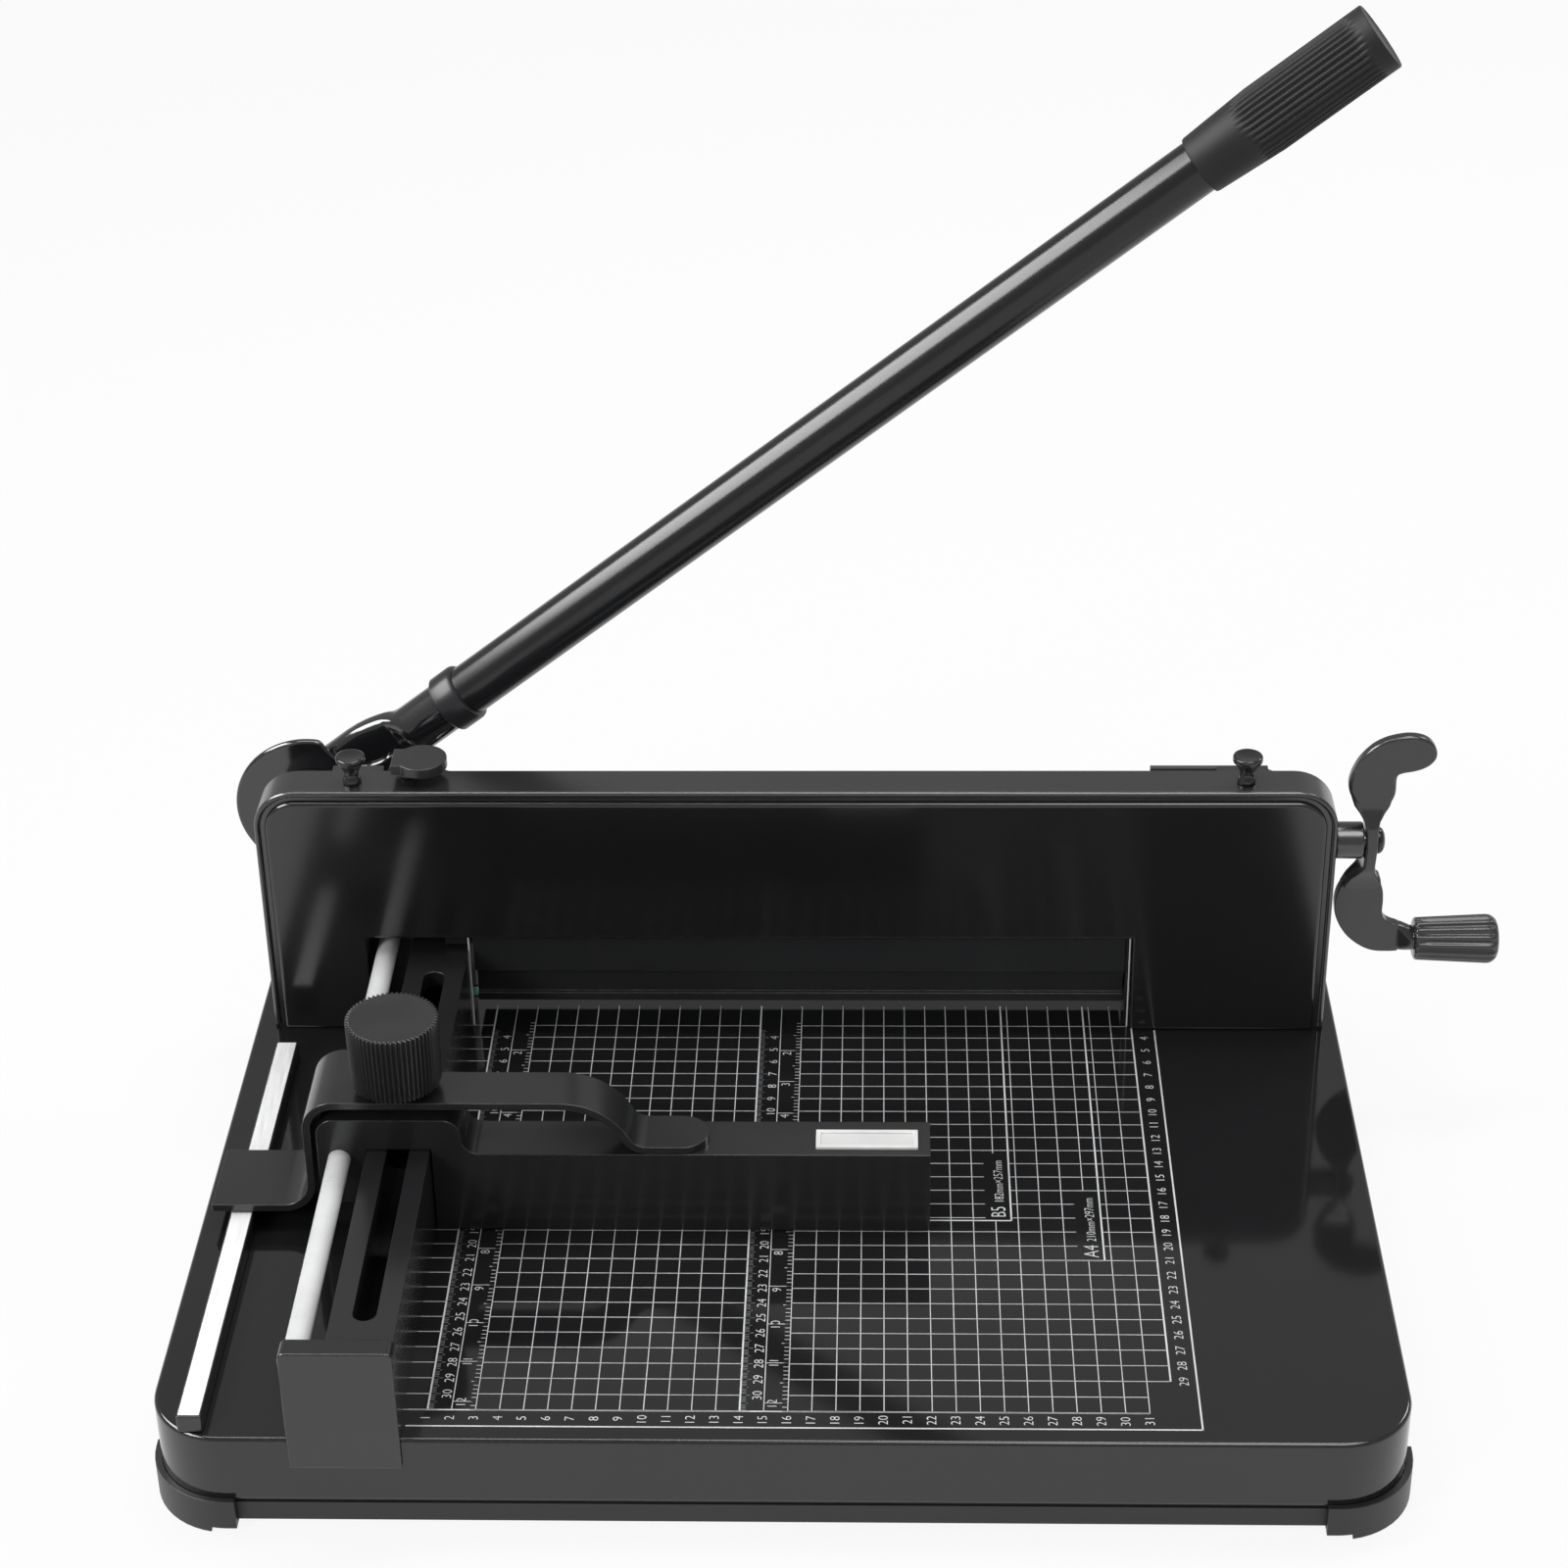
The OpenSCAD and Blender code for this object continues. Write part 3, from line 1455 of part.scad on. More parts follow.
module gauge_strap() {
    y0 = knob_y - strap_w / 2;
    y1 = knob_y + strap_w / 2;
    y2 = y0 + strap_foot_d;
    half = strap_t / 2;
    bent_x = riser_x0 + bend_r;
    tongue_x = fall_x + tongue_len - strap_w / 2;
    color("#1b1c1e")
        at_zero()
            difference() {
                union() {
                    upright(y0, y2) {
                        band(bent_x, strap_top - bend_r, bend_r, 90, 180);
                        translate([riser_x0, foot_z + strap_t + foot_bend_r])
                            square([strap_t, strap_top - bend_r - foot_z - strap_t - foot_bend_r]);
                        band(riser_x0 - foot_bend_r, foot_z + strap_t + foot_bend_r, foot_bend_r + strap_t, -90, 0);
                    }
                    translate([0, 0, strap_top - strap_t])
                        linear_extrude(strap_t)
                            polygon([[bent_x, y0], [strap_flat, y0], [strap_flat, y1], [rail_mid + strap_step, y1],
                                [rail_mid - strap_step, y2], [bent_x, y2]]);
                    upright(y0, y1) {
                        band(strap_flat, strap_top - half - fall_r, fall_r + half, 90, 90 - fall_a);
                        band(fall_x, gauge_h + half + land_r, land_r + half, 270 - fall_a, 270);
                    }
                    box([-strap_foot_left, y0, foot_z], [riser_x0 - foot_bend_r, y0 + strap_foot_d, foot_z + strap_t]);
                    translate([0, 0, gauge_h])
                        linear_extrude(strap_t) {
                            translate([fall_x, y0])
                                square([tongue_x - fall_x, strap_w]);
                            translate([tongue_x, knob_y])
                                circle(strap_w / 2);
                        }
                }
                translate([rail_mid, knob_y, 0])
                    rod_along_z(stud_d + 2 * fit, hump_h, strap_top + eps);
            }
}

module gauge_knob() {
    color("#1a1b1d")
        at_zero()
            translate([rail_mid, knob_y, knob_z])
                difference() {
                    union() {
                        rod_along_z(knob_collar_d, 0, knob_collar_h);
                        translate([0, 0, knob_collar_h])
                            linear_extrude(knob_h)
                                ribbed(knob_d / 2, knob_ribs, rib_depth);
                    }
                    rod_along_z(stud_d + 2 * fit, -eps, stud_depth);
                }
}

module clamp_stud() {
    head_z = rail_h - rail_top - stud_gap;
    color("#8f9398")
        at_zero()
            translate([rail_mid, knob_y, 0]) {
                rod_along_z(stud_head_d, head_z - stud_head_h, head_z);
                rod_along_z(stud_d, head_z, knob_z + stud_depth);
            }
}

// moves to the front left corner of the label frame
module at_label() {
    at_zero()
        translate([gauge_len - label_in - label_w, gauge_y0 + label_front, gauge_h])
            children();
}

module label_frame() {
    color("#d8d8d4")
        at_label()
            difference() {
                cube([label_w, label_d, label_h]);
                translate([label_border, label_border, -eps])
                    cube([label_w - 2 * label_border, label_d - 2 * label_border, label_h + 2 * eps]);
            }
}

module label_pane() {
    color("#8d9094")
        at_label()
            translate([label_border, label_border, 0])
                cube([label_w - 2 * label_border, label_d - 2 * label_border, pane_t]);
}

base_tray();
bottom_pan();
corner_feet();
foot_screws();
cutting_stick();
scale_bar();
scale_tape();
slotted_rail();
guide_rod();
front_bracket();
frame_plate();
housing_wrap();
front_panel();
cover_tabs();
thumb_screws();
lock_knob();
lock_cam();
clamp_bar();
clamp_pins();
clamp_guides();
wedge_bar();
wedge_strips();
screw_nut();
clamp_shaft();
shaft_bearings();
shaft_bush();
crank_arm();
crank_screw();
crank_spindle();
crank_grip();
pivot_block();
lever_pivot();
pivot_nut();
lever_arm();
lever_collar();
lever_tube();
lever_grip();
drive_pin();
blade_carrier();
blade();
blade_bolts();
guide_rails();
guide_caps();
cap_screws();
gauge_bar();
gauge_strap();
gauge_knob();
clamp_stud();
label_frame();
label_pane();
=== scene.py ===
"""Dresses the stack paper cutter: loads its solids, then shapes and finishes every piece that shows."""

import json
import logging
import math
from dataclasses import dataclass
from enum import Enum
from typing import Any, Callable, Iterable, Sequence

import bmesh
import bpy
from mathutils import Matrix, Vector


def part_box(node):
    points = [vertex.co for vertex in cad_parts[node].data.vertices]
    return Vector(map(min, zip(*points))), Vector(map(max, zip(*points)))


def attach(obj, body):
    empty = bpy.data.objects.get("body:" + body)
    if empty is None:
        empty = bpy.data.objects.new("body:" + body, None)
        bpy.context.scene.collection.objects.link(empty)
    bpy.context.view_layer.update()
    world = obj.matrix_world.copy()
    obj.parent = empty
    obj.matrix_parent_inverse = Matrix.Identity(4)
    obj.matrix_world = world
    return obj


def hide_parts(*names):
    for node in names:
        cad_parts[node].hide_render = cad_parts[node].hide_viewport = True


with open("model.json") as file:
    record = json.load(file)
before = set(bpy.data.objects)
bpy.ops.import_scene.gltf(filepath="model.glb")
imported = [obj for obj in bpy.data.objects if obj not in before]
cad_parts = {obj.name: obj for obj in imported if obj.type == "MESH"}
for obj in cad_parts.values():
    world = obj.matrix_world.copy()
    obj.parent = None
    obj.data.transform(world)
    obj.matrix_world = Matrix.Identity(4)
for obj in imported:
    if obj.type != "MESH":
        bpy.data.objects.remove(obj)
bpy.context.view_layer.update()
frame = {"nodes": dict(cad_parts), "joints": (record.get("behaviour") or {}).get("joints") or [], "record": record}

LOG = logging.getLogger("paper_cutter")
MM = 0.001
INCH = 25.4
RIGHT, AWAY = Vector((1, 0, 0)), Vector((0, 1, 0))
WELD = 0.002 * MM
FLAT_ANGLE = math.radians(0.4)
ZERO = Vector((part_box("slotted_rail")[1].x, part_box("blade")[0].y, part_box("base_tray")[1].z))
BODY_OF = {node: body for body, nodes in frame["record"]["behaviour"]["bodies"].items() for node in nodes}

Point = tuple[float, float]
Colour = tuple[float, float, float]


def at(x: float, y: float, z: float) -> Vector:
    """Place in the row frame of a point given in millimetres from the zero point on the table.

    Args:
        x: Millimetres right of the side guide.
        y: Millimetres behind the cut line.
        z: Millimetres above the table.

    Returns:
        The point in metres.
    """
    return ZERO + Vector((x, y, z)) * MM


def joint_place(name: str) -> Vector:
    """Place of a joint of the record, in metres."""
    return Vector(next(j["pos_m"] for j in frame["joints"] if j["name"] == name))


def placed(name: str, data: Any) -> bpy.types.Object:
    """A new object of the scene that holds a mesh, curve, lamp or camera.

    Args:
        name: Name of the object.
        data: What it holds.

    Returns:
        The object.
    """
    made = bpy.data.objects.new(name, data)
    bpy.context.scene.collection.objects.link(made)
    return made


# Nodes


class Tap:
    """One output socket of a node, with arithmetic that adds Math nodes."""

    def __init__(self, bench: "NodeBench", socket: bpy.types.NodeSocket) -> None:
        """Keeps the bench and the socket."""
        self.bench = bench
        self.socket = socket

    def other(self, output: str | int) -> "Tap":
        """Another output of the same node."""
        return Tap(self.bench, self.socket.node.outputs[output])

    def maths(self, operation: str, *values: Any) -> "Tap":
        """A Math node on the given values."""
        return self.bench.node("ShaderNodeMath", {"operation": operation}, dict(enumerate(values)))

    def __add__(self, value: Any) -> "Tap":
        """This plus a value."""
        return self.maths("ADD", self, value)

    def __radd__(self, value: Any) -> "Tap":
        """A value plus this."""
        return self.maths("ADD", value, self)

    def __sub__(self, value: Any) -> "Tap":
        """This less a value."""
        return self.maths("SUBTRACT", self, value)

    def __rsub__(self, value: Any) -> "Tap":
        """A value less this."""
        return self.maths("SUBTRACT", value, self)

    def __mul__(self, value: Any) -> "Tap":
        """This times a value."""
        return self.maths("MULTIPLY", self, value)

    def __rmul__(self, value: Any) -> "Tap":
        """A value times this."""
        return self.maths("MULTIPLY", value, self)

    def __pow__(self, value: Any) -> "Tap":
        """This to a power."""
        return self.maths("POWER", self, value)


class NodeBench:
    """Adds nodes to one node tree."""

    def __init__(self, tree: bpy.types.NodeTree) -> None:
        """Keeps the tree and empties it."""
        self.tree = tree
        tree.nodes.clear()

    def node(self, kind: str, settings: dict[str, Any] | None = None,
             inputs: dict[str | int, Any] | None = None, output: str | int = 0) -> Tap:
        """Adds one node.

        Args:
            kind: Type of the node.
            settings: Its own properties, such as a Math node's operation, which are set first.
            inputs: Value or Tap for each socket, by name or number.
            output: The output that is handed back.

        Returns:
            A Tap on that output.
        """
        made = self.tree.nodes.new(kind)
        for key, value in (settings or {}).items():
            setattr(made, key, value)
        for key, value in (inputs or {}).items():
            if isinstance(value, Tap):
                self.tree.links.new(value.socket, made.inputs[key])
            else:
                made.inputs[key].default_value = value
        return Tap(self, made.outputs[output])

    def end(self, kind: str, last: Tap) -> None:
        """Links the last node to a new output node of the given type."""
        self.tree.links.new(last.socket, self.tree.nodes.new(kind).inputs[0])

    def place(self, stretch: Sequence[float] = (1.0, 1.0, 1.0)) -> Tap:
        """Object coordinates, stretched along each axis.

        Args:
            stretch: Stretch along x, y and z.

        Returns:
            The coordinates.
        """
        spot = self.node("ShaderNodeTexCoord", output="Object")
        return self.node("ShaderNodeMapping", {"vector_type": "POINT"},
                         {"Vector": spot, "Scale": tuple(stretch)})

    def noise(self, size: float, detail: float = 2.0, stretch: Sequence[float] = (1.0, 1.0, 1.0)) -> Tap:
        """Smooth noise whose lumps are about the given size in metres.

        Args:
            size: Size of its lumps.
            detail: How many finer layers lie over them.
            stretch: Stretch of its coordinates along x, y and z.

        Returns:
            Its value, around 0.5.
        """
        return self.node("ShaderNodeTexNoise", {"noise_dimensions": "3D"},
                         {"Vector": self.place(stretch), "Scale": 1.0 / size, "Detail": detail,
                          "Roughness": 0.55})

    def edge(self) -> Tap:
        """1 on the rounded edges of a worked piece, and 0 elsewhere."""
        return self.node("ShaderNodeAttribute", {"attribute_name": "edge"}, output="Fac")

    def between(self, factor: Any, first: Any, second: Any) -> Tap:
        """Colour between two colours."""
        return self.node("ShaderNodeMix", {"data_type": "RGBA"}, {0: factor, 6: first, 7: second}, 2)

    def step(self, value: Tap, low: Any, high: Any) -> Tap:
        """Smooth step from 0 at low to 1 at high."""
        return self.node("ShaderNodeMapRange", {"interpolation_type": "SMOOTHSTEP"},
                         {"Value": value, "From Min": low, "From Max": high})

    def bump(self, height: Tap, depth: float, strength: float) -> Tap:
        """Normal of a surface with a fine height on it."""
        return self.node("ShaderNodeBump", {}, {"Height": height, "Distance": depth, "Strength": strength})


def paint(colour: Colour, gain: float = 1.0) -> tuple[float, float, float, float]:
    """A colour with alpha, made lighter or darker."""
    return (*(min(1.0, c * gain) for c in colour), 1.0)


class Lay(Enum):
    """Which way the fine lines of worked metal run, as the stretch of their noise."""

    ALONG_X = (0.02, 1.0, 1.0)
    ALONG_Z = (1.0, 1.0, 0.03)
    ROUND_X = (1.0, 0.02, 0.02)
    ROUND_Y = (0.02, 1.0, 0.02)
    ROUND_Z = (0.02, 0.02, 1.0)


@dataclass(frozen=True)
class Finish:
    """What all finishes share."""

    name: str
    colour: Colour
    roughness: float

    def material(self) -> bpy.types.Material:
        """The finish as a material, made once.

        Returns:
            The material.
        """
        known = bpy.data.materials.get(self.name)
        if known:
            return known
        made = bpy.data.materials.new(self.name)
        made.use_nodes = True
        bench = NodeBench(made.node_tree)
        shader = bench.node("ShaderNodeBsdfPrincipled", {}, self.surface(bench))
        bench.end("ShaderNodeOutputMaterial", shader)
        return made

    def surface(self, bench: NodeBench) -> dict[str | int, Any]:
        """The shader's sockets for this finish."""
        raise NotImplementedError


@dataclass(frozen=True)
class PowderCoat(Finish):
    """Stoved black coat: fine orange peel, faint haze, and a painted highlight that lightens its rounded edges in
    patches.
    """

    peel: float = 2.4
    depth: float = 0.012
    # how strongly a painted highlight lightens the rounded edges
    edge: float = 1.6
    specks: float = 0.05
    shine: float = 0.5
    haze_size: float = 90.0
    speck_size: float = 0.35
    # size of the patches of that painted edge highlight
    wear_size: float = 3.0

    def surface(self, bench: NodeBench) -> dict[str | int, Any]:
        """The shader's sockets for this finish.

        Args:
            bench: Where the nodes are made.

        Returns:
            A value or a Tap for each socket.
        """
        peel = bench.noise(self.peel * MM, 2.0)
        haze = bench.noise(self.haze_size * MM, 4.0)
        speck = bench.noise(self.speck_size * MM, 1.0)
        # Painted highlight: the rounded edges are made lighter in noise patches.
        edge_highlight_patches = bench.edge() * bench.step(bench.noise(self.wear_size * MM, 3.0), 0.35, 0.75)
        body = bench.between(haze, paint(self.colour, 0.85), paint(self.colour, 1.25))
        flecked = bench.between(bench.step(speck, 0.62, 0.8) * self.specks * 4, body, paint(self.colour, 4.0))
        return {
            "Base Color": bench.between(edge_highlight_patches, flecked, paint(self.colour, self.edge * 1.6)),
            "Roughness": self.roughness + (haze - 0.5) * 0.05 + (speck - 0.5) * self.specks + edge_highlight_patches * 0.05,
            "Specular IOR Level": self.shine,
            "Normal": bench.bump(peel, self.depth * MM, 0.5),
        }


@dataclass(frozen=True)
class MouldedPlastic(Finish):
    """Moulded plastic with a fine spark-eroded grain, and a painted highlight on its rounded edges."""

    grain: float = 0.45
    depth: float = 0.02
    shine: float = 0.5
    flow_size: float = 30.0

    def surface(self, bench: NodeBench) -> dict[str | int, Any]:
        """The shader's sockets for this finish.

        Args:
            bench: Where the nodes are made.

        Returns:
            A value or a Tap for each socket.
        """
        grain = bench.noise(self.grain * MM, 3.0)
        flow = bench.noise(self.flow_size * MM, 3.0)
        # Painted highlight: the rounded edges are made lighter in patches.
        plastic_edge_highlight = bench.edge() * bench.step(flow, 0.4, 0.7)
        body = bench.between(flow, paint(self.colour, 0.82), paint(self.colour, 1.2))
        return {
            "Base Color": bench.between(plastic_edge_highlight, body, paint(self.colour, 1.6)),
            "Roughness": self.roughness + (flow - 0.5) * 0.12 + (grain - 0.5) * 0.16,
            "Specular IOR Level": self.shine,
            "Normal": bench.bump(grain, self.depth * MM, 0.5),
        }


@dataclass(frozen=True)
class WorkedMetal(Finish):
    """Bare metal with the fine lines that turning or grinding leaves."""

    lay: Lay = Lay.ALONG_X
    line: float = 0.25
    line_depth: float = 0.004
    stain_size: float = 25.0

    def surface(self, bench: NodeBench) -> dict[str | int, Any]:
        """The shader's sockets for this finish.

        Args:
            bench: Where the nodes are made.

        Returns:
            A value or a Tap for each socket.
        """
        lines = bench.noise(self.line * MM, 3.0, self.lay.value)
        stain = bench.noise(self.stain_size * MM, 4.0)
        body = bench.between(lines, paint(self.colour, 0.8), paint(self.colour, 1.1))
        return {
            "Base Color": bench.between(bench.step(stain, 0.55, 0.8) * 0.35, body, paint(self.colour, 0.7)),
            "Metallic": 1.0,
            "Roughness": self.roughness + (lines - 0.5) * 0.18 + (stain - 0.5) * 0.1,
            "Normal": bench.bump(lines, self.line_depth * MM, 0.4),
        }


@dataclass(frozen=True)
class PrintedInk(Finish):
    """Screen-printed ink, a little uneven where the mesh of the screen let less through."""

    mesh_size: float = 0.5
    mesh_depth: float = 0.01
    patch_size: float = 20.0

    def surface(self, bench: NodeBench) -> dict[str | int, Any]:
        """The shader's sockets for this finish.

        Args:
            bench: Where the nodes are made.

        Returns:
            A value or a Tap for each socket.
        """
        mesh = bench.noise(self.mesh_size * MM, 2.0)
        patch = bench.noise(self.patch_size * MM, 3.0)
        solid = bench.step(mesh * 0.5 + patch * 0.5, 0.35, 0.62)
        return {
            "Base Color": bench.between(solid, paint(self.colour, 0.72), paint(self.colour)),
            "Roughness": self.roughness + (mesh - 0.5) * 0.2,
            "Normal": bench.bump(mesh, self.mesh_depth * MM, 0.4),
        }


@dataclass(frozen=True)
class CutStick(Finish):
    """Plastic of the cutting stick, scored along the line of the cut."""

    score_size: float = 0.5
    score_depth: float = 0.05
    cloud_size: float = 30.0

    def surface(self, bench: NodeBench) -> dict[str | int, Any]:
        """The shader's sockets for this finish.

        Args:
            bench: Where the nodes are made.

        Returns:
            A value or a Tap for each socket.
        """
        scores = bench.noise(self.score_size * MM, 4.0, Lay.ALONG_X.value)
        cloud = bench.noise(self.cloud_size * MM, 2.0)
        scored = bench.step(scores, 0.55, 0.7)
        body = bench.between(cloud, paint(self.colour, 0.85), paint(self.colour, 1.15))
        return {
            "Base Color": bench.between(scored * 0.5, body, paint(self.colour, 1.6)),
            "Roughness": self.roughness + scored * 0.2,
            "Normal": bench.bump(scores, self.score_depth * MM, 0.5),
        }


BLACK: Colour = (0.0118, 0.0119, 0.0128)
TABLE_COAT = PowderCoat("table_coat", BLACK, 0.075, peel=2.6, depth=0.003, edge=1.0, specks=0.01, shine=0.6)
SIDE_COAT = PowderCoat("guide_coat", (0.0145, 0.0147, 0.0157), 0.2,
                       peel=2.0, depth=0.008, edge=1.2, specks=0.03, shine=0.7)
PANEL_COAT = PowderCoat("panel_coat", (0.0112, 0.0113, 0.012), 0.14,
                        peel=2.2, depth=0.004, edge=0.8, specks=0.02, shine=0.7)
COVER_COAT = PowderCoat("cover_coat", (0.0165, 0.0167, 0.0175), 0.24,
                        peel=1.6, depth=0.008, edge=1.1, specks=0.03, shine=1.0)
STRAP_COAT = PowderCoat("strap_coat", (0.0155, 0.0158, 0.0166), 0.22,
                        peel=1.4, depth=0.008, edge=1.3, specks=0.05, shine=0.7)
FORGED_COAT = PowderCoat("forged_coat", (0.012, 0.0125, 0.0138), 0.11,
                         peel=6.0, depth=0.015, edge=1.0, specks=0.02, shine=0.9)
COLLAR_COAT = PowderCoat("collar_coat", (0.022, 0.0225, 0.0245), 0.3,
                         peel=1.2, depth=0.008, edge=1.4, specks=0.03, shine=0.35)
TUBE_COAT = PowderCoat("tube_coat", (0.0115, 0.0118, 0.013), 0.2,
                       peel=1.0, depth=0.01, edge=1.2, specks=0.1, shine=0.4)
CRANK_COAT = PowderCoat("crank_coat", (0.021, 0.021, 0.0212), 0.16,
                        peel=1.2, depth=0.006, edge=1.3, specks=0.04, shine=0.7)
FRAME_PAINT = PowderCoat("frame_paint", (0.021, 0.0215, 0.0232), 0.5, peel=1.6, depth=0.02, edge=2.0)
# Mid grey rather than black: painted light, raised to stand for the lit front faces of the caps.
CAP_GREY_PAINTED_LIGHT = PowderCoat("cap_paint", (0.06, 0.0605, 0.062), 0.42, peel=1.6, depth=0.02, edge=1.4)
CLAMP_PAINT = PowderCoat("clamp_paint", (0.019, 0.0195, 0.021), 0.3, peel=1.6, depth=0.012, edge=1.8)
PAN_PLASTIC = MouldedPlastic("pan_plastic", (0.02, 0.0202, 0.0212), 0.5, grain=0.6, depth=0.03)
FOOT_PLASTIC = MouldedPlastic("foot_plastic", (0.019, 0.0192, 0.02), 0.42, grain=0.5, depth=0.02)
KNOB_PLASTIC = MouldedPlastic("knob_plastic", (0.023, 0.0232, 0.024), 0.3, grain=0.35, depth=0.006)
GRIP_PLASTIC = MouldedPlastic("grip_plastic", (0.0205, 0.0207, 0.0215), 0.52,
                              grain=0.4, depth=0.01, shine=0.22)
HANDLE_PLASTIC = MouldedPlastic("handle_plastic", (0.044, 0.0442, 0.0452), 0.16, grain=0.5, depth=0.004)
GLOSS_PLASTIC = MouldedPlastic("gloss_plastic", (0.016, 0.0162, 0.017), 0.16, grain=0.6, depth=0.003)
WINDOW_PLASTIC = MouldedPlastic("window_plastic", (0.78, 0.78, 0.76), 0.32, grain=0.8, depth=0.008)
WINDOW_PANE = MouldedPlastic("window_pane", (0.71, 0.715, 0.71), 0.22, grain=6.0, depth=0.02)
# White paint of the guide rod; the painted highlights on the throat's edges use it too.
ROD_AND_HIGHLIGHT_WHITE = MouldedPlastic("rod_coat", (0.8, 0.81, 0.8), 0.3, grain=1.2, depth=0.01)
STICK_PLASTIC = CutStick("stick_plastic", (0.06, 0.30, 0.25), 0.4)
TURNED_X = WorkedMetal("turned_steel_x", (0.55, 0.56, 0.58), 0.3, lay=Lay.ROUND_X)
TURNED_Y = WorkedMetal("turned_steel_y", (0.55, 0.56, 0.58), 0.3, lay=Lay.ROUND_Y)
TURNED_Z = WorkedMetal("turned_steel_z", (0.55, 0.56, 0.58), 0.3, lay=Lay.ROUND_Z)
DARK_SCREW = WorkedMetal("dark_screw", (0.05, 0.051, 0.053), 0.45, lay=Lay.ROUND_Z)
DRAWN_STEEL = WorkedMetal("drawn_steel", (0.5, 0.51, 0.53), 0.34, lay=Lay.ALONG_X)
GROUND_STEEL = WorkedMetal("ground_blade", (0.68, 0.69, 0.71), 0.2, lay=Lay.ALONG_Z, line=0.18)
BRIGHT_STRIP = WorkedMetal("bright_strip", (0.93, 0.935, 0.945), 0.5, lay=Lay.ROUND_X, line=0.4)
NUT_BRASS = WorkedMetal("nut_brass", (0.62, 0.46, 0.2), 0.34, lay=Lay.ALONG_X)
WHITE_INK = PrintedInk("white_ink", (0.84, 0.845, 0.85), 0.5)
FAINT_INK = PrintedInk("faint_ink", (0.3, 0.305, 0.31), 0.5)


# Meshes


def plain_mesh(name: str, shape: bmesh.types.BMesh, sharp: float = 50.0) -> bpy.types.Mesh:
    """Turns a worked shape into a smooth-shaded mesh with crisp creases.

    Args:
        name: Name of the mesh.
        shape: The shape, which is freed.
        sharp: Angle in degrees past which an edge stays a crease.

    Returns:
        The mesh.
    """
    mesh = bpy.data.meshes.new(name)
    shape.to_mesh(mesh)
    shape.free()
    mesh.shade_smooth()
    mesh.set_sharp_from_angle(angle=math.radians(sharp))
    return mesh


def evaluated(mesh: bpy.types.Mesh, add_modifier: Callable[[bpy.types.Object], None]) -> bpy.types.Mesh:
    """The mesh that comes out of one modifier.

    Args:
        mesh: The mesh that goes in, which is removed.
        add_modifier: Called with a scratch object to add and set the modifier.

    Returns:
        A plain mesh.
    """
    scratch = placed(mesh.name + "_scratch", mesh)
    add_modifier(scratch)
    depsgraph = bpy.context.evaluated_depsgraph_get()
    made = bpy.data.meshes.new_from_object(scratch.evaluated_get(depsgraph), preserve_all_data_layers=True,
                                           depsgraph=depsgraph)
    scratch.modifiers.clear()
    bpy.data.objects.remove(scratch)
    bpy.data.meshes.remove(mesh)
    return made


def weighted(mesh: bpy.types.Mesh) -> bpy.types.Mesh:
    """The mesh with normals that keep its broad faces flat and its rounded edges soft.

    Args:
        mesh: The mesh that goes in, which is removed.

    Returns:
        The mesh with its new normals.
    """
    def add(scratch: bpy.types.Object) -> None:
        """Adds the modifier."""
        made = scratch.modifiers.new("normals", "WEIGHTED_NORMAL")
        made.weight, made.keep_sharp = 60, True
    return evaluated(mesh, add)


def soften(shape: bmesh.types.BMesh, radius: float, segments: int = 3, least: float = 28.0,
           before: float = math.inf) -> None:
    """Rounds the edges of a shape and marks the rounding with the corner attribute "edge".

    Args:
        shape: The shape to work on.
        radius: Radius of the rounding in millimetres.
        segments: Faces across the rounding.
        least: Least angle in degrees between two faces for their edge to be rounded.
        before: Only edges nearer to the user than this y, in metres, are rounded.
    """
    edges = [e for e in shape.edges if len(e.link_faces) == 2 and e.calc_face_angle(0.0) > math.radians(least)
             and all(v.co.y < before for v in e.verts)]
    mark = shape.loops.layers.float.new("edge")
    made = bmesh.ops.bevel(shape, geom=edges, offset=radius * MM, offset_type="OFFSET", segments=segments,
                           profile=0.5, affect="EDGES", clamp_overlap=True)
    for face in made["faces"]:
        for loop in face.loops:
            loop[mark] = 1.0


def solid_copy(*nodes: str) -> bmesh.types.BMesh:
    """A copy of CAD nodes' meshes, with their loose triangles joined into whole faces.

    Args:
        *nodes: The CAD nodes.

    Returns:
        The shape in the row frame.
    """
    shape = bmesh.new()
    for node in nodes:
        shape.from_mesh(frame["nodes"][node].data)
    bmesh.ops.remove_doubles(shape, verts=shape.verts, dist=WELD)
    bmesh.ops.dissolve_limit(shape, angle_limit=FLAT_ANGLE, verts=shape.verts, edges=shape.edges)
    return shape


def turned(profile: Sequence[Point], count: int = 64) -> bmesh.types.BMesh:
    """A shape turned about the z axis.

    Args:
        profile: Radius and height of each point in millimetres, from the lower end to the upper end.
        count: Faces round the axis.

    Returns:
        The closed shape, in metres.
    """
    shape = bmesh.new()
    rings: list[list[bmesh.types.BMVert]] = []
    for radius, height in profile:
        spread = 1 if radius == 0 else count
        rings.append([shape.verts.new((radius * MM * math.cos(math.tau * i / count),
                                       radius * MM * math.sin(math.tau * i / count), height * MM))
                      for i in range(spread)])
    for low, high in zip(rings, rings[1:]):
        for i in range(count):
            j = (i + 1) % count
            corners = [low[i % len(low)], low[j % len(low)], high[j % len(high)], high[i % len(high)]]
            unique = list(dict.fromkeys(corners))
            if len(unique) > 2:
                shape.faces.new(unique)
    return shape


